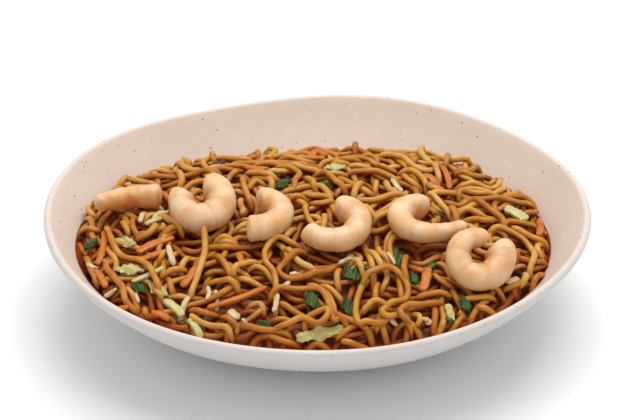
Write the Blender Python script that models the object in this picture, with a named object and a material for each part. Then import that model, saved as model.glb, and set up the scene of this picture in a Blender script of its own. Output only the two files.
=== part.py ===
"""Fried egg noodles with prawns and vegetables in a wide stoneware bowl.

Lengths are in metres and +Z is up. The origin is the middle of the bowl's flat base. The noodles are
one solid: a smooth core that fills the bowl, with the noodles that show fused to its top. The prawns,
the vegetable strips and the leaves are fitted to the bare core, and the noodles keep clear of them.
"""

import math
import random
from dataclasses import dataclass

import bmesh
import bpy
import numpy
from mathutils import Matrix, Vector

GAP = 0.0004
WELD = 0.000002
SHARP_ANGLE = 50

# Bowl: an off-round plan and a gently waved rim, as departures (turns, cosine, sine) from a circle.
RIM_RADIUS = 0.131
RIM_HEIGHT = 0.0499
RIM_SWELLS = ((2, 0.0079, 0.0012), (3, -0.0013, -0.0031), (4, 0.0008, -0.0011), (5, 0.0008, 0.0003))
RIM_WAVES = ((1, 0.0002, -0.0010), (2, 0.0048, -0.0004))
BASE_RADIUS = 0.065
WALL_BULGE = 0.0068
FOOT_THICKNESS = 0.0055
LIP_THICKNESS = 0.0043
BOWL_TURNS = 64
WALL_STEPS = 7
LIP_STEPS = 4
HEIGHT_STEPS = 32

# Heap: a dome whose edge follows the bowl, low at the back and tucked under the lip in front.
CORE_PEAK = 0.0580
CORE_BACK_RISE = 0.03
CORE_FULLNESS = 0.56
CORE_GAP = 0.0009
EDGE_SHARE = 0.83
EDGE_SWELLS = ((1, -0.012, -0.08), (2, 0.05, 0.01), (3, 0.0, 0.005), (4, -0.01, 0.0))
CORE_RINGS = 8
UNDER_RINGS = 4

NOODLE_RADIUS = 0.0016
NOODLE_SIDES = 5
NOODLE_STEP = 0.0065
NOODLE_LENGTH = 0.16
NOODLE_SHORTEST = 0.035
NOODLE_COUNT = 19
NOODLE_LIFT = 0.0012
NOODLE_WAVE = 0.0008
NOODLE_DIVE = 0.0026
NOODLE_TRIES = 12
NOODLE_SPACING = 0.008
NOODLE_SPREAD = 0.86
NOODLE_REACH = 0.93
CROWD_WEIGHT = 0.4
BEND_RADIUS = 0.016
LONG_BEND = 0.021
SHORT_BEND = 0.009
SHORT_BEND_SHARE = 0.7
TURN_BACK_AT = 0.84
TURN_BACK = 2.0
WEAVE_LENGTH = 0.007
HEAP_SEED = 2

PRAWN_SIDES = 9
PRAWN_RINGS = 15
PRAWN_SEGMENTS = 5
SEGMENT_RELIEF = 0.035
PRAWN_FLATNESS = 0.92
HEAD_END = 0.13
TAIL_END = 0.08
BLUNT_END = 0.3
TAPER_POWER = 1.4


@dataclass(frozen=True)
class Prawn:
    """A peeled prawn. It lies in a plane that is tilted to the front and rolled to the right.

    A hook of 1 curls it evenly, more than 1 curls the head and leaves the tail straight. The taper is
    the share of its thickness that it loses towards the tail.
    """

    x: float
    y: float
    length: float
    thickness: float
    heading: float
    turn: float
    hook: float
    tilt: float
    roll: float
    taper: float


@dataclass(frozen=True)
class Strip:
    """A shred of vegetable from one end to the other, bowed sideways in the middle."""

    start: tuple
    end: tuple
    bow: float
    width: float
    thickness: float


@dataclass(frozen=True)
class Leaf:
    """A thin wavy scrap of leaf, longest along its heading."""

    x: float
    y: float
    heading: float
    length: float
    width: float
    waves: float


# Angles are in degrees, anticlockwise from above; a negative turn curls clockwise.
PRAWNS = (
    Prawn(-0.0975, -0.0040, 0.0350, 0.0132, 172.0, 50.0, 0.8, -4.0, 0.0, 0.30),
    Prawn(-0.0590, -0.0150, 0.0520, 0.0164, -2.0, -303.0, 1.0, 22.0, 0.0, 0.14),
    Prawn(-0.0275, -0.0240, 0.0424, 0.0146, 20.0, -194.0, 1.5, 4.0, 4.0, 0.08),
    Prawn(0.0064, -0.0306, 0.0530, 0.0154, 14.0, -240.0, 1.4, 12.0, 0.0, 0.30),
    Prawn(0.0580, -0.0258, 0.0600, 0.0156, 138.0, 254.0, 1.9, 4.0, 0.0, 0.60),
    Prawn(0.0794, -0.0570, 0.0630, 0.0162, -48.0, -350.0, 0.92, 36.0, 8.0, 0.40),
)

CARROTS = (
    Strip((-0.1086, -0.0200), (-0.1096, -0.0490), 0.0015, 0.0034, 0.0022),
    Strip((-0.0720, -0.0320), (-0.0905, -0.0430), -0.0015, 0.0046, 0.0022),
    Strip((-0.0582, -0.0490), (-0.0667, -0.0700), 0.0015, 0.0042, 0.0024),
    Strip((-0.0545, -0.0840), (-0.0250, -0.0700), -0.0012, 0.0032, 0.0024),
    Strip((-0.0811, -0.0850), (-0.0716, -0.0900), 0.0008, 0.0036, 0.0022),
    Strip((-0.0387, 0.0350), (-0.0268, 0.0230), 0.0012, 0.0040, 0.0022),
    Strip((-0.0110, 0.0480), (0.0035, 0.0460), 0.0012, 0.0034, 0.0022),
    Strip((0.0545, -0.0545), (0.0510, -0.0710), 0.0008, 0.0046, 0.0024),
    Strip((0.1150, 0.0000), (0.1130, -0.0180), 0.0010, 0.0036, 0.0022),
    Strip((0.0660, 0.0440), (0.0690, 0.0135), 0.0012, 0.0032, 0.0022),
    Strip((-0.0775, -0.0425), (-0.0895, -0.0485), 0.0008, 0.0036, 0.0020),
    Strip((-0.1111, -0.0525), (-0.1044, -0.0662), 0.0008, 0.0036, 0.0020),
    Strip((-0.0400, -0.0465), (-0.0371, -0.0570), 0.0006, 0.0034, 0.0020),
)

CABBAGE_STEMS = (
    Strip((-0.0763, -0.0553), (-0.0921, -0.0645), 0.0008, 0.0030, 0.0020),
    Strip((-0.0752, -0.0785), (-0.0655, -0.0885), 0.0010, 0.0042, 0.0022),
    Strip((0.0964, 0.0015), (0.1075, -0.0065), 0.0010, 0.0060, 0.0024),
    Strip((-0.0625, -0.0905), (-0.0565, -0.0990), 0.0006, 0.0036, 0.0020),
    Strip((-0.0880, -0.0190), (-0.0790, -0.0140), 0.0006, 0.0032, 0.0020),
    Strip((0.0630, -0.0780), (0.0650, -0.0870), 0.0005, 0.0038, 0.0022),
)

PALE_LEAVES = (
    Leaf(-0.0935, -0.0555, -13.0, 0.0146, 0.0060, 1.5),
    Leaf(0.0010, -0.0950, 12.0, 0.0230, 0.0056, 2.0),
    Leaf(0.0088, 0.0300, 8.0, 0.0114, 0.0056, 1.0),
    Leaf(-0.0785, -0.0710, -45.0, 0.0125, 0.0050, 1.0),
    Leaf(-0.0975, -0.0330, -34.0, 0.0130, 0.0060, 1.0),
)

GREENS = (
    Leaf(-0.1150, -0.0300, 50.0, 0.0080, 0.0042, 1.0),
    Leaf(-0.0875, -0.0690, -36.0, 0.0080, 0.0044, 1.0),
    Leaf(-0.0032, -0.0770, -66.0, 0.0110, 0.0056, 1.0),
    Leaf(0.0168, -0.0601, -54.0, 0.0100, 0.0070, 1.5),
    Leaf(-0.0264, -0.0925, 20.0, 0.0085, 0.0040, 1.0),
    Leaf(0.0398, -0.0500, -84.0, 0.0142, 0.0044, 1.5),
    Leaf(-0.0185, 0.0112, 58.0, 0.0095, 0.0044, 1.0),
    Leaf(0.0460, -0.0629, -50.0, 0.0083, 0.0052, 1.0),
    Leaf(0.0715, -0.0768, -61.0, 0.0075, 0.0048, 1.0),
    Leaf(0.0141, -0.0808, -76.0, 0.0113, 0.0040, 1.0),
)

LEAF_STEPS = (6, 3)
LEAF_THICKNESS = 0.0008
LEAF_RIPPLE = 0.0007
LEAF_POINT = 0.5
STRIP_RINGS = 7


def clear_scene():
    """Remove every object that the file opened with."""
    for thing in list(bpy.data.objects):
        bpy.data.objects.remove(thing, do_unlink=True)


def finish(name, colour, roughness):
    """Return a plain surface of one colour, for one kind of sub-part."""
    material = bpy.data.materials.new(name)
    material.use_nodes = True
    shader = material.node_tree.nodes["Principled BSDF"]
    shader.inputs["Base Color"].default_value = (*colour, 1.0)
    shader.inputs["Roughness"].default_value = roughness
    shader.inputs["Metallic"].default_value = 0.0
    return material


def add_object(name, shape, material):
    """Turn a bmesh into a named object that wears a material."""
    bmesh.ops.recalc_face_normals(shape, faces=shape.faces)
    mesh = bpy.data.meshes.new(name)
    shape.to_mesh(mesh)
    shape.free()
    mesh.materials.append(material)
    mesh.shade_smooth()
    mesh.set_sharp_from_angle(angle=math.radians(SHARP_ANGLE))
    thing = bpy.data.objects.new(name, mesh)
    bpy.context.scene.collection.objects.link(thing)
    return thing


def series(terms, angle):
    """Sum a few whole-turn waves (turns, cosine, sine) at an angle."""
    return sum(c * math.cos(k * angle) + s * math.sin(k * angle) for k, c, s in terms)


def plan_scale(angle):
    """How far the bowl's plan reaches at an angle, as a share of the mean radius."""
    return 1.0 + series(RIM_SWELLS, angle) / RIM_RADIUS


def height_scale(angle):
    """How high the rim stands at an angle, as a share of the mean height."""
    return 1.0 + series(RIM_WAVES, angle) / RIM_HEIGHT


def wall_frame(share):
    """Radius and height of the bowl's outside at a share of its wall, and its outward normal."""
    run = RIM_RADIUS - BASE_RADIUS
    straight = Vector((run, RIM_HEIGHT))
    square = Vector((RIM_HEIGHT, -run)).normalized()
    point = Vector((BASE_RADIUS, 0.0)) + straight * share + square * (4 * WALL_BULGE * share * (1 - share))
    along = (straight + square * (4 * WALL_BULGE * (1 - 2 * share))).normalized()
    return point, Vector((along.y, -along.x)), along


def inner_wall(share):
    """Radius and height of the bowl's inside at a share of its wall."""
    point, normal, _ = wall_frame(share)
    return point - normal * (FOOT_THICKNESS + (LIP_THICKNESS - FOOT_THICKNESS) * share)


def bowl_profile():
    """Half of the bowl's section, from the middle of the base, over the lip, to the middle inside."""
    shares = [step / WALL_STEPS for step in range(WALL_STEPS + 1)]
    outside = [wall_frame(share)[0] for share in shares]
    inside = [inner_wall(share) for share in reversed(shares)]
    top, normal, along = wall_frame(1.0)
    middle = top - normal * (LIP_THICKNESS / 2)
    lip = []
    for step in range(1, LIP_STEPS):
        angle = math.pi * step / LIP_STEPS
        lip.append(middle + (normal * math.cos(angle) + along * math.sin(angle)) * (LIP_THICKNESS / 2))
    floor = Vector((0.0, inside[-1].y))
    return [Vector((0.0, 0.0)), *outside, *lip, *inside, floor]


def turned(profile, turns):
    """Turn a section, drawn in the XZ plane, about Z into a closed shape."""
    shape = bmesh.new()
    points = [shape.verts.new((point.x, 0.0, point.y)) for point in profile]
    edges = [shape.edges.new(pair) for pair in zip(points, points[1:])]
    bmesh.ops.spin(shape, geom=points + edges, cent=(0, 0, 0), axis=(0, 0, 1), angle=math.tau,
                   steps=turns, use_merge=True)
    bmesh.ops.remove_doubles(shape, verts=shape.verts, dist=0.00001)
    return shape


def make_bowl(material):
    """Turn the bowl's section and press it into the off-round plan with the waved rim."""
    shape = turned(bowl_profile(), BOWL_TURNS)
    for vert in shape.verts:
        angle = math.atan2(vert.co.y, vert.co.x)
        vert.co.x *= plan_scale(angle)
        vert.co.y *= plan_scale(angle)
        vert.co.z *= height_scale(angle)
    return add_object("bowl", shape, material)


def inside_height(radius):
    """Height of the bowl's inside at a radius of the unpressed bowl."""
    points = [inner_wall(step / HEIGHT_STEPS) for step in range(HEIGHT_STEPS + 1)]
    return float(numpy.interp(radius, [p.x for p in points], [p.y for p in points]))


def edge_share(angle):
    """Where the heap meets the wall at an angle, as a share of the bowl's plan."""
    return EDGE_SHARE + series(EDGE_SWELLS, angle)


def core_point(share, angle, top):
    """A point on the core's top or underside, at a share of the way from its middle to its edge."""
    reach = edge_share(angle) * share * RIM_RADIUS
    place = reach * plan_scale(angle)
    x, y = place * math.cos(angle), place * math.sin(angle)
    if not top:
        return Vector((x, y, inside_height(reach) * height_scale(angle) + CORE_GAP))
    edge = inside_height(edge_share(angle) * RIM_RADIUS) * height_scale(angle) + CORE_GAP
    rise = CORE_PEAK + CORE_BACK_RISE * y - edge
    return Vector((x, y, edge + rise * max(0.0, 1 - share * share) ** CORE_FULLNESS))


def heap_share(x, y):
    """How far out a place lies on the heap, from 0 in the middle to 1 at its edge."""
    angle = math.atan2(y, x)
    return math.hypot(x, y) / (edge_share(angle) * plan_scale(angle) * RIM_RADIUS)


def core_height(x, y):
    """Height of the core's top above the origin at a place."""
    return core_point(min(1.0, heap_share(x, y)), math.atan2(y, x), True).z


def make_core(material):
    """Turn a lens, then lay its underside on the bowl and raise its top into the heap's dome."""
    under = [Vector((ring / UNDER_RINGS, -1.0)) for ring in range(UNDER_RINGS)]
    over = [Vector((math.sin(math.pi / 2 * ring / CORE_RINGS), 1.0)) for ring in range(CORE_RINGS)]
    shape = turned([*under, Vector((1.0, 0.0)), *reversed(over)], BOWL_TURNS)
    for vert in shape.verts:
        share = math.hypot(vert.co.x, vert.co.y)
        vert.co = core_point(share, math.atan2(vert.co.y, vert.co.x), vert.co.z > 0)
    return add_object("noodles", shape, material)


def along_path(points, place):
    """Return a frame at one point of a path, with its Z along the path and its X level."""
    before = points[max(place - 1, 0)]
    after = points[min(place + 1, len(points) - 1)]
    forward = (after - before).normalized()
    level = Vector((-forward.y, forward.x, 0.0)).normalized()
    rise = level.cross(forward)
    frame = Matrix((level, -rise, forward)).transposed().to_4x4()
    frame.translation = points[place]
    return frame


def tube(points, sizes, sides, start_angle=0.0):
    """Skin a path with flat-ended rings. Each size is the ring's level and upright half width."""
    shape = bmesh.new()
    last = None
    for place, (level, upright) in enumerate(sizes):
        frame = along_path(points, place) @ Matrix.Diagonal((level, upright, 1.0, 1.0))
        frame = frame @ Matrix.Rotation(start_angle, 4, "Z")
        ring = bmesh.ops.create_circle(shape, segments=sides, radius=1.0, matrix=frame)
        edges = list({edge for vert in ring["verts"] for edge in vert.link_edges})
        if last:
            bmesh.ops.bridge_loops(shape, edges=last + edges)
        else:
            bmesh.ops.contextual_create(shape, geom=edges)
        last = edges
    bmesh.ops.contextual_create(shape, geom=last)
    bmesh.ops.triangulate(shape, faces=[face for face in shape.faces if len(face.verts) > 4])
    return shape


def prawn_path(prawn):
    """The prawn's middle line in its own level plane, about its centre, from head to tail."""
    step = prawn.length / (PRAWN_RINGS - 1)
    points = [Vector((0.0, 0.0, 0.0))]
    for ring in range(PRAWN_RINGS - 1):
        share = (ring + 0.5) / (PRAWN_RINGS - 1)
        curled = 1 - (1 - share) ** prawn.hook
        heading = math.radians(prawn.heading + prawn.turn * curled)
        points.append(points[-1] + Vector((math.cos(heading), math.sin(heading), 0.0)) * step)
    low = Vector([min(point[axis] for point in points) for axis in range(3)])
    high = Vector([max(point[axis] for point in points) for axis in range(3)])
    return [point - (low + high) / 2 for point in points]


def round_end(part):
    """Size of a rounded end, from 0 at its tip to 1 where it meets the body."""
    return math.sqrt(1 - (1 - min(1.0, part)) ** 2)


def prawn_girth(share, taper):
    """Half the prawn's thickness along it, as a share of the thickest: blunt head, tapered tail."""
    ends = round_end(share / HEAD_END) * round_end((1 - share) / TAIL_END)
    segments = 1.0 + SEGMENT_RELIEF * math.cos(math.tau * PRAWN_SEGMENTS * share)
    return max(BLUNT_END, ends) * (1.0 - taper * share ** TAPER_POWER) * segments


def settle(thing):
    """Lower an object straight down until it just clears the bare core."""
    clearance = min(vert.co.z - core_height(vert.co.x, vert.co.y) for vert in thing.data.vertices)
    for vert in thing.data.vertices:
        vert.co.z -= clearance - GAP


def make_prawn(name, prawn, material):
    """Skin a curled tapering body and lean it on the heap."""
    shares = [ring / (PRAWN_RINGS - 1) for ring in range(PRAWN_RINGS)]
    halves = [prawn.thickness / 2 * prawn_girth(share, prawn.taper) for share in shares]
    sizes = [(half, half * PRAWN_FLATNESS) for half in halves]
    shape = tube(prawn_path(prawn), sizes, PRAWN_SIDES)
    tilt = Matrix.Rotation(math.radians(prawn.tilt), 4, "X")
    roll = Matrix.Rotation(math.radians(prawn.roll), 4, "Y")
    place = Matrix.Translation((prawn.x, prawn.y, CORE_PEAK))
    bmesh.ops.transform(shape, matrix=place @ tilt @ roll, verts=shape.verts)
    thing = add_object(name, shape, material)
    settle(thing)
    return thing


def make_strip(name, strip, material):
    """Lay a four-sided shred on the core, following its rise and fall."""
    start, end = Vector(strip.start), Vector(strip.end)
    aside = (end - start).orthogonal().normalized()
    points = []
    for ring in range(STRIP_RINGS):
        share = ring / (STRIP_RINGS - 1)
        spot = start.lerp(end, share) + aside * (4 * strip.bow * share * (1 - share))
        points.append(Vector((spot.x, spot.y, core_height(spot.x, spot.y) + strip.thickness)))
    corner = math.sqrt(2.0)
    sizes = [(strip.width / 2 * corner, strip.thickness / 2 * corner)] * STRIP_RINGS
    thing = add_object(name, tube(points, sizes, 4, math.pi / 4), material)
    settle(thing)
    return thing


def make_leaf(name, leaf, material):
    """Shape a grid into a pointed wavy scrap on the core and give it its thickness."""
    shape = bmesh.new()
    bmesh.ops.create_grid(shape, x_segments=LEAF_STEPS[0], y_segments=LEAF_STEPS[1], size=0.5)
    turn = Matrix.Rotation(math.radians(leaf.heading), 2)
    for vert in shape.verts:
        along, across = vert.co.x * 2, vert.co.y * 2
        narrow = 1.0 - LEAF_POINT * along * along
        spot = turn @ Vector((along * leaf.length / 2, across * narrow * leaf.width / 2))
        x, y = leaf.x + spot.x, leaf.y + spot.y
        ripple = LEAF_RIPPLE * (1 + math.sin(math.pi * leaf.waves * along + 2 * across))
        vert.co = (x, y, core_height(x, y) + 2 * GAP + ripple)
    bmesh.ops.triangulate(shape, faces=shape.faces)
    thing = add_object(name, shape, material)
    skin = thing.modifiers.new("thickness", "SOLIDIFY")
    skin.thickness = LEAF_THICKNESS
    skin.offset = 1.0
    return thing


def footprint(thing):
    """Corners of a topping as seen from above, which no noodle may come near."""
    view = bpy.context.evaluated_depsgraph_get()
    mesh = thing.evaluated_get(view).to_mesh()
    return [Vector((vert.co.x, vert.co.y)) for vert in mesh.vertices]


def noodle_route(start, heading, draw):
    """Wander over the heap from a start, bending back from its edge, and return level points."""
    phases = [draw.uniform(0, math.tau) for _ in range(2)]
    spot = Vector(start)
    route = [spot.copy()]
    for step in range(round(NOODLE_LENGTH / NOODLE_STEP)):
        travelled = step * NOODLE_STEP
        bend = math.sin(travelled / LONG_BEND + phases[0])
        bend += SHORT_BEND_SHARE * math.sin(travelled / SHORT_BEND + phases[1])
        inward = math.atan2(-spot.y, -spot.x)
        if heap_share(spot.x, spot.y) > TURN_BACK_AT:
            bend += TURN_BACK * math.sin(inward - heading)
        heading += bend * NOODLE_STEP / BEND_RADIUS
        spot = spot + Vector((math.cos(heading), math.sin(heading))) * NOODLE_STEP
        route.append(spot.copy())
    return route


def clear_run(route, toppings):
    """The longest stretch of a route that stays on the heap and clear of every topping."""
    near = NOODLE_RADIUS * 2 + GAP
    best, run = [], []
    for spot in route:
        free = all((spot - corner).length > near for corner in toppings)
        run = [*run, spot] if free and heap_share(spot.x, spot.y) < NOODLE_REACH else []
        best = run if len(run) > len(best) else best
    return best


def crowding(run, laid):
    """How many points of the noodles already laid lie close to a run, summed over its points."""
    return sum((spot - other).length < NOODLE_SPACING for spot in run for other in laid)


def noodle_points(run, phase):
    """Raise a level route onto the core, weaving up and down, with both ends dipped into it."""
    points = []
    for place, spot in enumerate(run):
        weave = NOODLE_WAVE * math.sin(place * NOODLE_STEP / WEAVE_LENGTH + phase)
        dive = NOODLE_DIVE if place in (0, len(run) - 1) else 0.0
        points.append(Vector((spot.x, spot.y, core_height(spot.x, spot.y) + NOODLE_LIFT + weave - dive)))
    return points


def make_noodles(toppings, material):
    """Spread noodles evenly over the heap by the golden angle, as loose tubes."""
    draw = random.Random(HEAP_SEED)
    noodles, laid = [], []
    for count in range(NOODLE_COUNT):
        angle = count * math.pi * (3 - math.sqrt(5))
        start = core_point(NOODLE_SPREAD * math.sqrt((count + 0.5) / NOODLE_COUNT), angle, True)
        runs = []
        for _ in range(NOODLE_TRIES):
            route = noodle_route((start.x, start.y), draw.uniform(0, math.tau), draw)
            runs.append(clear_run(route, toppings))
        run = max(runs, key=lambda spots: len(spots) - CROWD_WEIGHT * crowding(spots, laid))
        if len(run) * NOODLE_STEP < NOODLE_SHORTEST:
            continue
        laid.extend(run)
        points = noodle_points(run, draw.uniform(0, math.tau))
        shape = tube(points, [(NOODLE_RADIUS, NOODLE_RADIUS)] * len(points), NOODLE_SIDES)
        noodles.append(add_object(f"noodle_{count}", shape, material))
    return noodles


def outer_body(mesh):
    """Keep only a mesh's largest connected skin, so that scraps and sealed hollows go."""
    shape = bmesh.new()
    shape.from_mesh(mesh)
    bmesh.ops.remove_doubles(shape, verts=shape.verts, dist=WELD)
    bmesh.ops.triangulate(shape, faces=shape.faces)
    left = set(shape.faces)
    skins = []
    while left:
        skin, fringe = [], [left.pop()]
        while fringe:
            face = fringe.pop()
            skin.append(face)
            plain = [edge for edge in face.edges if len(edge.link_faces) == 2]
            near = {other for edge in plain for other in edge.link_faces} & left
            fringe.extend(near)
            left -= near
        skins.append(skin)
    largest = max(skins, key=len)
    loose = [face for skin in skins if skin is not largest for face in skin]
    bmesh.ops.delete(shape, geom=loose, context="FACES")
    shape.to_mesh(mesh)
    shape.free()


def fuse(core, noodles):
    """Join the noodles to the core with one union and drop the loose tubes."""
    strands = bpy.data.collections.new("noodle strands")
    bpy.context.scene.collection.children.link(strands)
    for noodle in noodles:
        bpy.context.scene.collection.objects.unlink(noodle)
        strands.objects.link(noodle)
    union = core.modifiers.new("noodles on the core", "BOOLEAN")
    union.operation = "UNION"
    union.operand_type = "COLLECTION"
    union.collection = strands
    union.solver = "MANIFOLD"
    view = bpy.context.evaluated_depsgraph_get()
    joined = bpy.data.meshes.new_from_object(core.evaluated_get(view))
    core.modifiers.clear()
    core.data = joined
    outer_body(joined)
    for noodle in noodles:
        bpy.data.objects.remove(noodle, do_unlink=True)


def main():
    """Build the bowl, the core, the toppings and the noodles between them."""
    clear_scene()
    stoneware = finish("speckled stoneware", (0.78, 0.72, 0.66), 0.5)
    noodle = finish("fried egg noodle", (0.55, 0.33, 0.11), 0.35)
    prawn_flesh = finish("cooked prawn", (0.87, 0.60, 0.40), 0.4)
    carrot = finish("carrot", (0.72, 0.26, 0.05), 0.4)
    cabbage = finish("cabbage", (0.74, 0.72, 0.45), 0.4)
    green = finish("dark greens", (0.06, 0.14, 0.03), 0.4)
    make_bowl(stoneware)
    core = make_core(noodle)
    toppings = []
    for count, prawn in enumerate(PRAWNS, 1):
        toppings.append(make_prawn(f"prawn_{count}", prawn, prawn_flesh))
    for count, strip in enumerate(CARROTS, 1):
        toppings.append(make_strip(f"carrot_{count}", strip, carrot))
    for count, strip in enumerate(CABBAGE_STEMS, 1):
        toppings.append(make_strip(f"cabbage_stem_{count}", strip, cabbage))
    for count, leaf in enumerate(PALE_LEAVES, 1):
        toppings.append(make_leaf(f"cabbage_leaf_{count}", leaf, cabbage))
    for count, leaf in enumerate(GREENS, 1):
        toppings.append(make_leaf(f"greens_{count}", leaf, green))
    corners = [corner for topping in toppings for corner in footprint(topping)]
    fuse(core, make_noodles(corners, noodle))


main()
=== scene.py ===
"""A bowl of fried egg noodles with prawns and vegetables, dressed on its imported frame.

Lengths are in metres and +Z is up. The origin is the middle of the bowl's flat base, and -Y faces the
camera. The heap is laid noodle by noodle on a net of heights, so that each one rests on those below it.
"""

from __future__ import annotations

import logging
import math
from dataclasses import dataclass, field
from enum import Enum

import bmesh
import bpy
import numpy as np
from mathutils import Matrix, Vector


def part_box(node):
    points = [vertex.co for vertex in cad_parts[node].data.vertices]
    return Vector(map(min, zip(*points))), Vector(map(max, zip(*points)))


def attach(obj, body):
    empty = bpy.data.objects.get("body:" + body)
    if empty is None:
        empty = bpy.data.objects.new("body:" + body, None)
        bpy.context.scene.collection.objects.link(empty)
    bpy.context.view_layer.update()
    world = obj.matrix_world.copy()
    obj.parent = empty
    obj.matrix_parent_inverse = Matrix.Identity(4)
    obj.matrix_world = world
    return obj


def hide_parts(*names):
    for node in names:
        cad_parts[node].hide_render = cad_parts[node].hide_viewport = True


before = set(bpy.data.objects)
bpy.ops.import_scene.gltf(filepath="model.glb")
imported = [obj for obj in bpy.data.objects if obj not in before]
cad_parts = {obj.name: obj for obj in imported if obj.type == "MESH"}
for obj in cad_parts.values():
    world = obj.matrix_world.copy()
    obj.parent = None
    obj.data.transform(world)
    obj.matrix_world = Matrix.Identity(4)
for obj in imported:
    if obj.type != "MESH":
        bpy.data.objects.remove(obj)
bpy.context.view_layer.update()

BODY = "root"
MERGE_WITHIN = 0.000001
SHARP_ANGLE = math.radians(60)
UV_NAME = "skin"
TONE = "tone"
# The depth mark carries painted shade: deep in the heap and on undersides.
SHADE_MARK = "depth"
BLUSH = "blush"
BELLY = "belly"
OUTER = "outer"

Colour = tuple[float, float, float]
Terms = tuple[tuple[int, float, float], ...]

log = logging.getLogger("noodle bowl")


class Slot(Enum):
    """The material slots."""

    STONEWARE = "stoneware"
    NOODLE = "noodle"
    PRAWN = "prawn"
    CARROT = "carrot"
    CABBAGE = "cabbage"
    GREENS = "greens"


class Amount:
    """A number in a node sheet that takes part in Python sums."""

    def __init__(self, sheet: "Sheet", socket: bpy.types.NodeSocket) -> None:
        """Wrap an output socket of a sheet."""
        self.sheet = sheet
        self.socket = socket

    def _sum(self, operation: str, first: object, second: object) -> "Amount":
        """Return what a Math node makes of two numbers or Amounts."""
        node = self.sheet.node("ShaderNodeMath", {"operation": operation}, {0: first, 1: second})
        return Amount(self.sheet, node.outputs[0])

    def __add__(self, other: object) -> "Amount":
        """Return self + other."""
        return self._sum("ADD", self, other)

    def __radd__(self, other: object) -> "Amount":
        """Return other + self."""
        return self._sum("ADD", other, self)

    def __sub__(self, other: object) -> "Amount":
        """Return self - other."""
        return self._sum("SUBTRACT", self, other)

    def __rsub__(self, other: object) -> "Amount":
        """Return other - self."""
        return self._sum("SUBTRACT", other, self)

    def __mul__(self, other: object) -> "Amount":
        """Return self * other."""
        return self._sum("MULTIPLY", self, other)

    def __rmul__(self, other: object) -> "Amount":
        """Return other * self."""
        return self._sum("MULTIPLY", other, self)

    def __pow__(self, other: object) -> "Amount":
        """Return self to the power other."""
        return self._sum("POWER", self, other)


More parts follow.
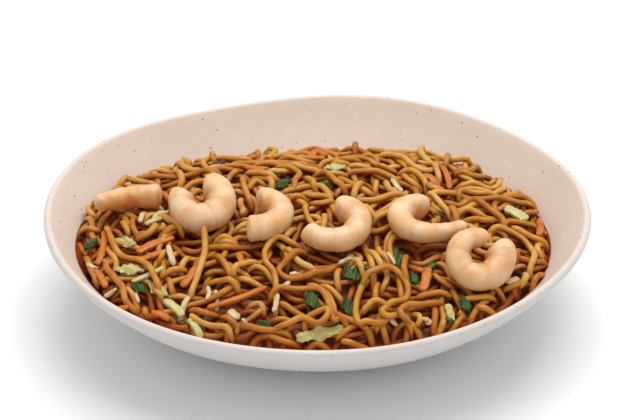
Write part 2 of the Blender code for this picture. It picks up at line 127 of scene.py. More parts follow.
class Sheet:
    """One material and the nodes on its sheet."""

    def __init__(self, name: str) -> None:
        """Start a material with a plain Principled shader.

        Args:
            name: the material's name.
        """
        self.material = bpy.data.materials.new(name)
        self.material.use_nodes = True
        self.tree = self.material.node_tree
        self.shader = self.tree.nodes["Principled BSDF"]

    def node(self, kind: str, settings: dict | None = None, values: dict | None = None) -> bpy.types.Node:
        """Add a node.

        Args:
            kind: the node's type.
            settings: its properties, set first; "stops" fills a colour ramp.
            values: numbers, colours or links for its sockets, by name or place.

        Returns:
            The new node.
        """
        made = self.tree.nodes.new(kind)
        for name, value in (settings or {}).items():
            if name == "stops":
                self._fill_ramp(made.color_ramp, value)
            else:
                setattr(made, name, value)
        for key, value in (values or {}).items():
            self.plug(made.inputs[key], value)
        return made

    @staticmethod
    def _fill_ramp(ramp: bpy.types.ColorRamp, stops: list[tuple[float, Colour]]) -> None:
        """Give a ramp its stops.

        Args:
            ramp: the colour ramp.
            stops: a place and a colour for each stop.
        """
        while len(ramp.elements) < len(stops):
            ramp.elements.new(1.0)
        for element, (place, colour) in zip(ramp.elements, stops):
            element.position = place
            element.color = (*colour, 1.0)

    def plug(self, socket: bpy.types.NodeSocket, value: object) -> None:
        """Set a socket, or link it.

        Args:
            socket: the input socket.
            value: a number, a colour, another socket or an Amount.
        """
        if isinstance(value, Amount):
            value = value.socket
        if isinstance(value, bpy.types.NodeSocket):
            self.tree.links.new(value, socket)
        elif isinstance(value, tuple) and len(value) == 3 and socket.type == "RGBA":
            socket.default_value = (*value, 1.0)
        else:
            socket.default_value = value

    def dress(self, **values: object) -> bpy.types.Material:
        """Set the shader's sockets.

        Args:
            **values: a value for each socket, by its name with underscores for spaces.

        Returns:
            The material.
        """
        for name, value in values.items():
            self.plug(self.shader.inputs[name.replace("_", " ")], value)
        return self.material

    def place(self, stretch: tuple[float, float, float] = (1.0, 1.0, 1.0)) -> bpy.types.NodeSocket:
        """Return the piece's own coordinates in metres, stretched along each axis."""
        source = self.node("ShaderNodeTexCoord").outputs["Object"]
        return self.node("ShaderNodeMapping", {}, {"Vector": source, "Scale": stretch}).outputs[0]

    def along(self, stretch: tuple[float, float, float] = (1.0, 1.0, 1.0)) -> bpy.types.NodeSocket:
        """Return the piece's UV map, stretched along each axis."""
        source = self.node("ShaderNodeUVMap", {"uv_map": UV_NAME}).outputs[0]
        return self.node("ShaderNodeMapping", {}, {"Vector": source, "Scale": stretch}).outputs[0]

    def mark(self, name: str) -> Amount:
        """Return a named number that the mesh carries at its vertices."""
        node = self.node("ShaderNodeAttribute", {"attribute_name": name})
        return Amount(self, node.outputs["Fac"])

    def mottle(self, scale: float, detail: float = 2.0, where: bpy.types.NodeSocket | None = None) -> Amount:
        """Return soft noise from 0 to 1, with so many blotches to a metre and so many finer layers."""
        values = {"Vector": where or self.place(), "Scale": scale, "Detail": detail}
        return Amount(self, self.node("ShaderNodeTexNoise", {}, values).outputs[0])

    def step(self, value: object, low: float, high: float) -> Amount:
        """Step smoothly from 0 to 1.

        Args:
            value: what is stepped.
            low: where the step leaves 0.
            high: where it reaches 1.

        Returns:
            The step.
        """
        node = self.node("ShaderNodeMapRange", {"interpolation_type": "SMOOTHSTEP"},
                         {"Value": value, "From Min": low, "From Max": high})
        return Amount(self, node.outputs[0])

    def blend(self, share: object, first: object, second: object) -> bpy.types.NodeSocket:
        """Return the first colour with a share of the second one mixed in."""
        node = self.node("ShaderNodeMix", {"data_type": "RGBA"}, {0: share, 6: first, 7: second})
        return node.outputs[2]

    def ramp(self, share: object, stops: list[tuple[float, Colour]]) -> bpy.types.NodeSocket:
        """Return the colour that a ramp has at a share."""
        return self.node("ShaderNodeValToRGB", {"stops": stops}, {0: share}).outputs[0]

    def relief(self, height: object, distance: float, strength: float = 1.0) -> bpy.types.NodeSocket:
        """Return a normal that is bumped by a height, with the bump's depth in metres."""
        values = {"Height": height, "Distance": distance, "Strength": strength}
        return self.node("ShaderNodeBump", {}, values).outputs[0]

    def specks(self, scale: float, least: float, most: float) -> Amount:
        """Return 1 on small scattered dots and 0 between them.

        Args:
            scale: how many cells there are to a metre, with a dot in each.
            least: the smallest dot's share of its cell; one below 0 doesn't show.
            most: the largest dot's share of its cell.

        Returns:
            The dots.
        """
        cells = self.node("ShaderNodeTexVoronoi", {}, {"Vector": self.place(), "Scale": scale})
        drawn = self.node("ShaderNodeSeparateColor", {}, {0: cells.outputs["Color"]})
        size = Amount(self, drawn.outputs[0]) * (most - least) + least
        inside = size - Amount(self, cells.outputs["Distance"])
        return self.step(inside, 0.0, 0.05)


@dataclass(frozen=True)
class StonewareFinish:
    """Satin cream glaze with sparse brown freckles; plainer and greyer outside, and darker there as painted
    shade.
    """

    cream: Colour = (0.785, 0.662, 0.566)
    warm: Colour = (0.745, 0.616, 0.514)
    # Greyer than the inside glaze, and darkened further as painted shade for the outer wall.
    outside: Colour = (0.650, 0.628, 0.615)
    freckle: Colour = (0.200, 0.150, 0.125)
    roughness: float = 0.42

    def material(self) -> bpy.types.Material:
        """Mix the glaze.

        Returns:
            The material.
        """
        sheet = Sheet("speckled stoneware")
        outer = sheet.mark(OUTER)
        cloud = sheet.mottle(14.0, 3.0)
        clay = sheet.blend(sheet.step(cloud, 0.35, 0.7), self.cream, self.warm)
        # Painted shade: the outer wall takes the darker outside colour.
        clay = sheet.blend(outer, clay, self.outside)
        large = sheet.specks(250.0, -0.16, 0.19)
        small = sheet.specks(600.0, -0.04, 0.22)
        dots = (large * 0.75 + small * 0.42) * (1.0 - outer * 0.8)
        colour = sheet.blend(dots, clay, self.freckle)
        fine = sheet.mottle(1400.0, 2.0)
        return sheet.dress(
            Base_Color=colour,
            Roughness=self.roughness + 0.16 * sheet.mottle(60.0) + 0.15 * dots,
            Normal=sheet.relief(fine + 0.6 * cloud - 0.5 * large, 0.00006),
            Specular_IOR_Level=0.4,
        )


@dataclass(frozen=True)
class NoodleFinish:
    """Fried egg noodle, golden to brown and glazed, with painted shade that darkens it to a red-brown deep
    in the gaps and on its underside.
    """

    name: str = "fried egg noodle"
    pale: Colour = (0.710, 0.410, 0.100)
    golden: Colour = (0.600, 0.262, 0.024)
    brown: Colour = (0.420, 0.110, 0.004)
    # Painted shade: the red-brown that deep gaps and undersides are blended toward.
    gap_shade: Colour = (0.310, 0.052, 0.001)
    coat: float = 0.22

    def material(self) -> bpy.types.Material:
        """Mix the glazed noodle.

        Returns:
            The material.
        """
        sheet = Sheet(self.name)
        tone, depth = sheet.mark(TONE), sheet.mark(SHADE_MARK)
        blotch = sheet.mottle(120.0, 3.0)
        shade = tone * 0.62 + (blotch - 0.5) * 1.2 + 0.16
        colour = sheet.ramp(shade, [(0.0, self.brown), (0.45, self.golden), (1.0, self.pale)])
        stain = sheet.step(sheet.mottle(52.0, 4.0), 0.50, 0.72)
        colour = sheet.blend(stain * 0.6, colour, self.brown)
        # Painted shade: blended toward that red-brown by the shade mark, deep in the heap and under each
        # noodle.
        colour = sheet.blend(sheet.step(depth, 0.0, 0.75) * 0.96, colour, self.gap_shade)
        grain = sheet.mottle(1300.0, 3.0)
        return sheet.dress(
            Base_Color=colour,
            Roughness=0.34 + 0.26 * blotch,
            Normal=sheet.relief(grain + 1.6 * sheet.mottle(450.0), 0.00022),
            Coat_Weight=self.coat * (1.0 - sheet.step(depth, 0.1, 0.7)),
            Coat_Roughness=0.16,
            Specular_IOR_Level=0.25,
        )


@dataclass(frozen=True)
class GapShadeFinish:
    """A dark sheet that shows deep between the noodles, coloured as painted shade for the gaps."""

    dark: Colour = (0.200, 0.026, 0.001)
    light: Colour = (0.340, 0.070, 0.003)

    def material(self) -> bpy.types.Material:
        """Mix the dark bed's painted shade.

        Returns:
            The material.
        """
        sheet = Sheet("dark sauce")
        # Painted shade for the gaps, mottled between the two red-browns.
        colour = sheet.blend(sheet.mottle(160.0, 3.0), self.dark, self.light)
        return sheet.dress(
            Base_Color=colour,
            Roughness=0.25 + 0.25 * sheet.mottle(90.0),
            Normal=sheet.relief(sheet.mottle(300.0, 3.0), 0.0006),
        )


@dataclass(frozen=True)
class PrawnFinish:
    """Cooked prawn flesh: cream and peach, with faint orange bands, a darker orange-brown inner curve and
    painted shade in orange on its underside.
    """

    peach: Colour = (0.790, 0.420, 0.165)
    cream: Colour = (0.830, 0.600, 0.360)
    inside: Colour = (0.640, 0.270, 0.050)
    orange: Colour = (0.760, 0.270, 0.050)
    red: Colour = (0.740, 0.100, 0.016)
    bands: float = 6.0

    def material(self) -> bpy.types.Material:
        """Mix the flesh.

        Returns:
            The material.
        """
        sheet = Sheet("cooked prawn")
        along = Amount(sheet, sheet.node("ShaderNodeSeparateXYZ", {}, {0: sheet.along()}).outputs[0])
        cloud = sheet.mottle(110.0, 4.0)
        patch = sheet.mottle(230.0, 3.0)
        colour = sheet.blend(sheet.step(cloud, 0.3, 0.72), self.cream, self.peach)
        wave = sheet.node("ShaderNodeMath", {"operation": "SINE"},
                          {0: (along * self.bands + (patch - 0.5) * 0.35) * math.tau})
        band = sheet.step(Amount(sheet, wave.outputs[0]), 0.35, 1.0)
        colour = sheet.blend(band * 0.28 * sheet.step(cloud, 0.2, 0.6), colour, self.orange)
        inner = sheet.step(sheet.mark(BELLY) + (patch - 0.5) * 0.3, 0.60, 1.0)
        colour = sheet.blend(inner * 0.75, colour, self.inside)
        # Painted shade: the underside, by the shade mark, is blended toward orange.
        low = sheet.step(sheet.mark(SHADE_MARK) + (patch - 0.5) * 0.3, 0.30, 0.85)
        colour = sheet.blend(low * 0.45, colour, self.orange)
        blush = sheet.mark(BLUSH)
        streak = sheet.step(blush * 0.8 + (patch - 0.5) * 1.8, 0.35, 0.95)
        colour = sheet.blend(streak * 0.6, colour, self.red)
        fibre = sheet.mottle(7.0, 3.0, sheet.along((24.0, 3.0, 1.0)))
        return sheet.dress(
            Base_Color=colour,
            Roughness=0.40 + 0.18 * patch,
            Normal=sheet.relief(fibre + sheet.mottle(500.0, 2.0), 0.00022),
            Coat_Weight=0.15,
            Coat_Roughness=0.22,
            Subsurface_Weight=0.12,
            Subsurface_Radius=(1.0, 0.45, 0.22),
            Subsurface_Scale=0.003,
        )


@dataclass(frozen=True)
class ShredFinish:
    """A wet vegetable shred, with streaks along its length."""

    name: str
    main: Colour
    second: Colour
    dark: Colour
    roughness: float = 0.34

    def material(self) -> bpy.types.Material:
        """Mix the shred's surface.

        Returns:
            The material.
        """
        sheet = Sheet(self.name)
        streak = sheet.mottle(1.0, 3.0, sheet.along((3.0, 22.0, 1.0)))
        patch = sheet.mottle(120.0, 3.0)
        colour = sheet.blend(sheet.step(streak, 0.35, 0.65), self.main, self.second)
        colour = sheet.blend(sheet.step(patch, 0.5, 0.8) * 0.7, colour, self.dark)
        return sheet.dress(
            Base_Color=colour,
            Roughness=self.roughness + 0.2 * patch,
            Normal=sheet.relief(streak + 0.5 * sheet.mottle(700.0), 0.0002),
            Coat_Weight=0.12,
            Coat_Roughness=0.15,
            Specular_IOR_Level=0.35,
        )


@dataclass(frozen=True)
class FloorFinish:
    """The plain pale floor."""

    colour: Colour = (0.94, 0.94, 0.94)

    def material(self) -> bpy.types.Material:
        """Return the floor's surface."""
        sheet = Sheet("pale floor")
        return sheet.dress(Base_Color=self.colour, Roughness=0.9)


CARROT = ShredFinish("carrot", (0.620, 0.175, 0.002), (0.520, 0.120, 0.002), (0.290, 0.050, 0.003))
CABBAGE = ShredFinish("cabbage", (0.660, 0.570, 0.270), (0.480, 0.450, 0.120), (0.460, 0.270, 0.060))
SPROUT = ShredFinish("bean sprout", (0.760, 0.620, 0.390), (0.600, 0.400, 0.180), (0.420, 0.200, 0.060))
GREEN = ShredFinish("dark greens", (0.022, 0.052, 0.006), (0.075, 0.130, 0.014), (0.010, 0.018, 0.004), 0.24)
CHAR = ShredFinish("charred bit", (0.050, 0.012, 0.004), (0.090, 0.026, 0.008), (0.020, 0.006, 0.003), 0.6)


def series(terms: Terms, angle: np.ndarray | float) -> np.ndarray | float:
    """Sum a few whole-turn waves (turns, cosine, sine) at an angle."""
    return sum(c * np.cos(k * angle) + s * np.sin(k * angle) for k, c, s in terms)


@dataclass(frozen=True)
class BowlForm:
    """The bowl's section and its off-round plan with the waved rim."""

    rim_radius: float = 0.131
    rim_height: float = 0.0499
    swells: Terms = ((2, 0.0079, 0.0012), (3, -0.0013, -0.0031), (4, 0.0008, -0.0011), (5, 0.0008, 0.0003))
    waves: Terms = ((1, 0.0002, -0.0010), (2, 0.0048, -0.0004))
    base_radius: float = 0.065
    bulge: float = 0.0068
    foot_thickness: float = 0.0055
    lip_thickness: float = 0.0043
    table_steps: int = 96

    def plan_scale(self, angle: np.ndarray | float) -> np.ndarray | float:
        """How far the plan reaches at an angle, as a share of the mean radius."""
        return 1.0 + series(self.swells, angle) / self.rim_radius

    def height_scale(self, angle: np.ndarray | float) -> np.ndarray | float:
        """How high the rim stands at an angle, as a share of the mean height."""
        return 1.0 + series(self.waves, angle) / self.rim_height

    def wall_frame(self, share: float) -> tuple[Vector, Vector, Vector]:
        """Follow the outside of the wall.

        Args:
            share: the place, from 0 at the base to 1 at the rim.

        Returns:
            The radius and height there, the outward normal, and the direction up the wall.
        """
        run = self.rim_radius - self.base_radius
        straight = Vector((run, self.rim_height))
        square = Vector((self.rim_height, -run)).normalized()
        point = Vector((self.base_radius, 0.0)) + straight * share
        point += square * (4 * self.bulge * share * (1 - share))
        along = (straight + square * (4 * self.bulge * (1 - 2 * share))).normalized()
        return point, Vector((along.y, -along.x)), along

    def inner_wall(self, share: float) -> Vector:
        """Radius and height of the inside at a share of the wall."""
        point, normal, _ = self.wall_frame(share)
        return point - normal * (self.foot_thickness + (self.lip_thickness - self.foot_thickness) * share)

    def inside_height(self, radius: np.ndarray | float) -> np.ndarray:
        """Height of the inside at a radius of the bowl before its plan is pressed."""
        points = [self.inner_wall(step / self.table_steps) for step in range(self.table_steps + 1)]
        return np.interp(radius, [p.x for p in points], [p.y for p in points])

    def inside_top(self, x: np.ndarray, y: np.ndarray) -> np.ndarray:
        """Measure the inside of the finished bowl.

        Args:
            x: places from left to right.
            y: places from front to back.

        Returns:
            Its height at each place.
        """
        angle = np.arctan2(y, x)
        radius = np.hypot(x, y) / self.plan_scale(angle)
        return self.inside_height(radius) * self.height_scale(angle)


@dataclass(frozen=True)
class HeapForm:
    """The heap's dome: its edge follows the bowl, low at the back and tucked under the lip in front."""

    bowl: BowlForm = field(default_factory=BowlForm)
    peak: float = 0.0580
    back_rise: float = 0.03
    fullness: float = 0.56
    gap: float = 0.0009
    edge: float = 0.83
    edge_swells: Terms = ((1, -0.012, -0.08), (2, 0.05, 0.01), (3, 0.0, 0.005), (4, -0.01, 0.0))

    def edge_share(self, angle: np.ndarray | float) -> np.ndarray | float:
        """Where the heap meets the wall, as a share of the bowl's plan."""
        return self.edge + series(self.edge_swells, angle)

    def edge_reach(self, angle: np.ndarray | float) -> np.ndarray | float:
        """How far from the middle the heap meets the wall."""
        return self.edge_share(angle) * self.bowl.rim_radius * self.bowl.plan_scale(angle)

    def share(self, x: np.ndarray | float, y: np.ndarray | float) -> np.ndarray | float:
        """How far out a place lies, from 0 in the middle to 1 at the heap's edge."""
        return np.hypot(x, y) / self.edge_reach(np.arctan2(y, x))

    def height(self, x: np.ndarray | float, y: np.ndarray | float) -> np.ndarray:
        """Measure the top of the bare core.

        Args:
            x: places from left to right.
            y: places from front to back.

        Returns:
            Its height at each place.
        """
        angle = np.arctan2(y, x)
        share = np.minimum(1.0, self.share(x, y))
        wall = self.bowl.inside_height(self.edge_share(angle) * self.bowl.rim_radius)
        edge = wall * self.bowl.height_scale(angle) + self.gap
        reach = share * self.edge_reach(angle)
        rise = self.peak + self.back_rise * reach * np.sin(angle) - edge
        return edge + rise * np.maximum(0.0, 1 - share * share) ** self.fullness


@dataclass(frozen=True)
class Sight:
    """The photograph's line of sight, for a 621 x 420 frame."""

    elevation: float = 33.0
    distance: float = 1.1
    aim_height: float = 0.0517
    focal: float = 2125.27
    centre: tuple[float, float] = (318.03, 209.31)
    frame_size: tuple[int, int] = (621, 420)
    rounds: int = 12

    def onto(self, heap: HeapForm, pixels: np.ndarray, lift: float) -> np.ndarray:
        """Follow pixels down to the heap.

        Args:
            heap: the heap's form.
            pixels: places in the photograph, by (place, axis).
            lift: how far above the bare core they lie.

        Returns:
            Where they lie from above, by (place, axis).
        """
        low = math.radians(self.elevation)
        back = np.array([0.0, -math.cos(low), math.sin(low)])
        eye = np.array([0.0, 0.0, self.aim_height]) + back * self.distance
        up = np.array([0.0, math.sin(low), math.cos(low)])
        right = np.array([1.0, 0.0, 0.0])
        across, down = ((pixels - np.array(self.centre)) / self.focal).T
        ray = across[:, None] * right - down[:, None] * up - back
        height = np.full(len(pixels), heap.peak)
        for _ in range(self.rounds):
            spot = eye + ray * ((height - eye[2]) / ray[:, 2])[:, None]
            height = heap.height(spot[:, 0], spot[:, 1]) + lift
        return spot[:, :2]


def new_shape() -> bmesh.types.BMesh:
    """Start an empty mesh.

    Returns:
        The mesh, with a UV map.
    """
    shape = bmesh.new()
    shape.loops.layers.uv.new(UV_NAME)
    return shape


def write_marks(shape: bmesh.types.BMesh, verts: list, marks: dict[str, np.ndarray]) -> None:
    """Write named numbers at vertices.

    Args:
        shape: the mesh.
        verts: its vertices that are written to.
        marks: for each name, one value to a vertex.
    """
    for name, values in marks.items():
        layer = shape.verts.layers.float.get(name) or shape.verts.layers.float.new(name)
        for vert, value in zip(verts, values.tolist()):
            vert[layer] = value


def lay_net(shape: bmesh.types.BMesh, places: np.ndarray, marks: dict[str, np.ndarray]) -> None:
    """Add a grid and pull its vertices to their places.

    Args:
        shape: the mesh that grows.
        places: points by (row, column, axis); the UV map's x follows the rows.
        marks: named numbers for the vertices, by (row, column).
    """
    rows, columns = places.shape[:2]
    for name in marks:
        if shape.verts.layers.float.get(name) is None:
            shape.verts.layers.float.new(name)
    made = bmesh.ops.create_grid(shape, x_segments=rows - 1, y_segments=columns - 1, size=0.5, calc_uvs=True)
    turned = places.transpose(1, 0, 2).reshape(-1, 3)
    for vert, spot in zip(made["verts"], turned.tolist()):
        vert.co = spot
    flat = {name: np.broadcast_to(values, (rows, columns)).T.reshape(-1) for name, values in marks.items()}
    write_marks(shape, made["verts"], flat)


def path_frames(points: np.ndarray) -> tuple[np.ndarray, np.ndarray]:
    """Turn with a path.

    Args:
        points: the path, by (place, axis).

    Returns:
        At each place, the level direction to the left and the upright one.
    """
    forward = np.gradient(points, axis=0)
    forward /= np.linalg.norm(forward, axis=1, keepdims=True)
    level = np.stack([-forward[:, 1], forward[:, 0], np.zeros(len(points))], axis=1)
    level /= np.maximum(1e-9, np.linalg.norm(level, axis=1, keepdims=True))
    return level, np.cross(forward, level)


def tube_net(points: np.ndarray, level: np.ndarray, upright: np.ndarray, sides: int) -> np.ndarray:
    """Ring a path round.

    Args:
        points: the path, by (place, axis).
        level: half widths, by (place,) or (place, side).
        upright: half heights, by (place,) or (place, side).
        sides: how many faces go round.

    Returns:
        The rings' points, by (place, side, axis), with the first side repeated at the end.
    """
    across, up = path_frames(points)
    angle = np.linspace(0.0, math.tau, sides + 1)
    level = np.broadcast_to(np.atleast_2d(level.T).T, (len(points), sides + 1))
    upright = np.broadcast_to(np.atleast_2d(upright.T).T, (len(points), sides + 1))
    wide = (level * np.cos(angle))[:, :, None] * across[:, None, :]
    tall = (upright * np.sin(angle))[:, :, None] * up[:, None, :]
    return points[:, None, :] + wide + tall


def rounded_ends(count: int, rings: int) -> np.ndarray:
    """Close a path's ends round.

    Args:
        count: how many places the path has.
        rings: over how many of them each end closes.

    Returns:
        The size at each place, as a share of the full one.
    """
    place = np.arange(count)
    near = np.minimum(place, place[::-1]) / rings
    return np.sqrt(np.clip(1 - (1 - np.clip(near, 0, 1)) ** 2, 0.0, 1.0))


def resample(points: np.ndarray, step: float, fineness: int = 24) -> np.ndarray:
    """Draw a smooth curve through points.

    Args:
        points: the points, by (place, axis).
        step: how far apart the new ones are.
        fineness: how many parts each stretch is cut into to measure it.

    Returns:
        Points at even steps along the curve.
    """
    count = len(points)
    fine = np.linspace(0, count - 1, count * fineness)
    low = np.clip(fine.astype(int), 0, count - 2)
    part = (fine - low)[:, None]
    p0, p1 = points[np.maximum(low - 1, 0)], points[low]
    p2, p3 = points[low + 1], points[np.minimum(low + 2, count - 1)]
    curve = 0.5 * (2 * p1 + (p2 - p0) * part + (2 * p0 - 5 * p1 + 4 * p2 - p3) * part ** 2
                   + (3 * p1 - p0 - 3 * p2 + p3) * part ** 3)
    run = np.concatenate([[0.0], np.cumsum(np.linalg.norm(np.diff(curve, axis=0), axis=1))])
    places = np.linspace(0.0, run[-1], max(4, round(run[-1] / step) + 1))
    return np.stack([np.interp(places, run, curve[:, axis]) for axis in range(points.shape[1])], axis=1)


def finish_piece(name: str, shape: bmesh.types.BMesh, material: bpy.types.Material,
                 replaced: tuple[str, ...] = ()) -> bpy.types.Object:
    """Close a mesh, make it a piece, hang it on the body and hide the CAD nodes it replaces.

    Args:
        name: the piece's name.
        shape: its mesh, which is freed.
        material: what it wears.
        replaced: the CAD nodes that it stands for.

    Returns:
        The piece.
    """
    bmesh.ops.remove_doubles(shape, verts=shape.verts, dist=MERGE_WITHIN)
    bmesh.ops.recalc_face_normals(shape, faces=shape.faces)
    mesh = bpy.data.meshes.new(name)
    shape.to_mesh(mesh)
    shape.free()
    mesh.materials.append(material)
    mesh.shade_smooth()
    mesh.set_sharp_from_angle(angle=SHARP_ANGLE)
    piece = bpy.data.objects.new(name, mesh)
    bpy.context.scene.collection.objects.link(piece)
    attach(piece, BODY)
    if replaced:
        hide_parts(*replaced)
    log.info("%s: %d vertices, %d faces", name, len(mesh.vertices), len(mesh.polygons))
    return piece


def shape_points(shape: bmesh.types.BMesh) -> np.ndarray:
    """Return a mesh's vertices as an array."""
    return np.array([vert.co for vert in shape.verts])


def dress_node(node: str, ending: str, shape: bmesh.types.BMesh, material: bpy.types.Material) -> np.ndarray:
    """Slide a mesh to the middle of a CAD node's box and make it the piece that stands for the node.

    Args:
        node: the CAD node.
        ending: what the piece's name adds to the node's.
        shape: the mesh, which is freed.
        material: what it wears.

    Returns:
        The piece's points.
    """
    low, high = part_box(node)
    points = shape_points(shape)
    middle = Vector((points.min(axis=0) + points.max(axis=0)) / 2)
    bmesh.ops.translate(shape, vec=(Vector(low) + Vector(high)) / 2 - middle, verts=shape.verts)
    cloud = shape_points(shape)
    finish_piece(f"{node}_{ending}", shape, material, (node,))
    return cloud


@dataclass
class Bowl:
    """The speckled stoneware bowl."""

    form: BowlForm = field(default_factory=BowlForm)
    turns: int = 180
    wall_steps: int = 20
    lip_steps: int = 10
    seam: float = 0.00001
    finish: StonewareFinish = field(default_factory=StonewareFinish)

    def _section(self) -> list[tuple[Vector, float]]:
        """Draw half of the bowl's section.

        Returns:
            Its points, each with how far it belongs to the outside.
        """
        shares = [step / self.wall_steps for step in range(self.wall_steps + 1)]
        outside = [(self.form.wall_frame(share)[0], 1.0) for share in shares]
        inside = [(self.form.inner_wall(share), 0.0) for share in reversed(shares)]
        top, normal, along = self.form.wall_frame(1.0)
        half = self.form.lip_thickness / 2
        lip = []
        for step in range(1, self.lip_steps):
            angle = math.pi * step / self.lip_steps
            point = top - normal * half + (normal * math.cos(angle) + along * math.sin(angle)) * half
            lip.append((point, 1.0 - step / self.lip_steps))
        floor = Vector((0.0, inside[-1][0].y))
        return [(Vector((0.0, 0.0)), 1.0), *outside, *lip, *inside, (floor, 0.0)]

    def build(self) -> bpy.types.Object:
        """Spin the section and press it into the off-round plan with the waved rim.

        Returns:
            The bowl's piece.
        """
        shape = new_shape()
        layer = shape.verts.layers.float.new(OUTER)
        points = []
        for point, outer in self._section():
            vert = shape.verts.new((point.x, 0.0, point.y))
            vert[layer] = outer
            points.append(vert)
        edges = [shape.edges.new(pair) for pair in zip(points, points[1:])]
        bmesh.ops.spin(shape, geom=points + edges, cent=(0, 0, 0), axis=(0, 0, 1), angle=math.tau,
                       steps=self.turns, use_merge=True)
        bmesh.ops.remove_doubles(shape, verts=shape.verts, dist=self.seam)
        for vert in shape.verts:
            angle = math.atan2(vert.co.y, vert.co.x)
            vert.co.x *= self.form.plan_scale(angle)
            vert.co.y *= self.form.plan_scale(angle)
            vert.co.z *= self.form.height_scale(angle)
        return finish_piece("bowl_glazed", shape, self.finish.material(), ("bowl",))


@dataclass(frozen=True)
class Prawn:
    """A peeled prawn, as the solids have it. Angles are in degrees; a negative turn curls clockwise."""

    x: float
    y: float
    length: float
    thickness: float
    heading: float
    turn: float
    hook: float
    tilt: float
    roll: float
    taper: float
    blush: tuple[float, float] = (0.0, 0.0)


@dataclass(frozen=True)
class Strip:
    """A shred from one end to the other, bowed sideways in the middle."""

    start: tuple[float, float]
    end: tuple[float, float]
    bow: float
    width: float
    thickness: float


@dataclass(frozen=True)
class Leaf:
    """A thin wavy scrap, longest along its heading in degrees."""

    x: float
    y: float
    heading: float
    length: float
    width: float
    waves: float


PRAWNS = (
    Prawn(-0.0975, -0.0040, 0.0350, 0.0132, 172.0, 50.0, 0.8, -4.0, 0.0, 0.30, (0.30, 0.66)),
    Prawn(-0.0590, -0.0150, 0.0520, 0.0164, -2.0, -303.0, 1.0, 22.0, 0.0, 0.14),
    Prawn(-0.0275, -0.0240, 0.0424, 0.0146, 20.0, -194.0, 1.5, 4.0, 4.0, 0.08),
    Prawn(0.0064, -0.0306, 0.0530, 0.0154, 14.0, -240.0, 1.4, 12.0, 0.0, 0.30),
    Prawn(0.0580, -0.0258, 0.0600, 0.0156, 138.0, 254.0, 1.9, 4.0, 0.0, 0.60),
    Prawn(0.0794, -0.0570, 0.0630, 0.0162, -48.0, -350.0, 0.92, 36.0, 8.0, 0.40),
)

CARROTS = (
    Strip((-0.1086, -0.0200), (-0.1096, -0.0490), 0.0015, 0.0034, 0.0022),
    Strip((-0.0720, -0.0320), (-0.0905, -0.0430), -0.0015, 0.0046, 0.0022),
    Strip((-0.0582, -0.0490), (-0.0667, -0.0700), 0.0015, 0.0042, 0.0024),
    Strip((-0.0545, -0.0840), (-0.0250, -0.0700), -0.0012, 0.0032, 0.0024),
    Strip((-0.0811, -0.0850), (-0.0716, -0.0900), 0.0008, 0.0036, 0.0022),
    Strip((-0.0387, 0.0350), (-0.0268, 0.0230), 0.0012, 0.0040, 0.0022),
    Strip((-0.0110, 0.0480), (0.0035, 0.0460), 0.0012, 0.0034, 0.0022),
    Strip((0.0545, -0.0545), (0.0510, -0.0710), 0.0008, 0.0046, 0.0024),
    Strip((0.1150, 0.0000), (0.1130, -0.0180), 0.0010, 0.0036, 0.0022),
    Strip((0.0660, 0.0440), (0.0690, 0.0135), 0.0012, 0.0032, 0.0022),
    Strip((-0.0775, -0.0425), (-0.0895, -0.0485), 0.0008, 0.0036, 0.0020),
    Strip((-0.1111, -0.0525), (-0.1044, -0.0662), 0.0008, 0.0036, 0.0020),
    Strip((-0.0400, -0.0465), (-0.0371, -0.0570), 0.0006, 0.0034, 0.0020),
)

CABBAGE_STEMS = (
    Strip((-0.0763, -0.0553), (-0.0921, -0.0645), 0.0008, 0.0030, 0.0020),
    Strip((-0.0752, -0.0785), (-0.0655, -0.0885), 0.0010, 0.0042, 0.0022),
    Strip((0.0964, 0.0015), (0.1075, -0.0065), 0.0010, 0.0060, 0.0024),
    Strip((-0.0625, -0.0905), (-0.0565, -0.0990), 0.0006, 0.0036, 0.0020),
    Strip((-0.0880, -0.0190), (-0.0790, -0.0140), 0.0006, 0.0032, 0.0020),
    Strip((0.0630, -0.0780), (0.0650, -0.0870), 0.0005, 0.0038, 0.0022),
)

CABBAGE_LEAVES = (
    Leaf(-0.0935, -0.0555, -13.0, 0.0146, 0.0060, 1.5),
    Leaf(0.0010, -0.0950, 12.0, 0.0230, 0.0056, 2.0),
    Leaf(0.0088, 0.0300, 8.0, 0.0114, 0.0056, 1.0),
    Leaf(-0.0785, -0.0710, -45.0, 0.0125, 0.0050, 1.0),
    Leaf(-0.0975, -0.0330, -34.0, 0.0130, 0.0060, 1.0),
)

GREENS = (
    Leaf(-0.1150, -0.0300, 50.0, 0.0080, 0.0042, 1.0),
    Leaf(-0.0875, -0.0690, -36.0, 0.0080, 0.0044, 1.0),
    Leaf(-0.0032, -0.0770, -66.0, 0.0110, 0.0056, 1.0),
    Leaf(0.0168, -0.0601, -54.0, 0.0100, 0.0070, 1.5),
    Leaf(-0.0264, -0.0925, 20.0, 0.0085, 0.0040, 1.0),
    Leaf(0.0398, -0.0500, -84.0, 0.0142, 0.0044, 1.5),
    Leaf(-0.0185, 0.0112, 58.0, 0.0095, 0.0044, 1.0),
    Leaf(0.0460, -0.0629, -50.0, 0.0083, 0.0052, 1.0),
    Leaf(0.0715, -0.0768, -61.0, 0.0075, 0.0048, 1.0),
    Leaf(0.0141, -0.0808, -76.0, 0.0113, 0.0040, 1.0),
)


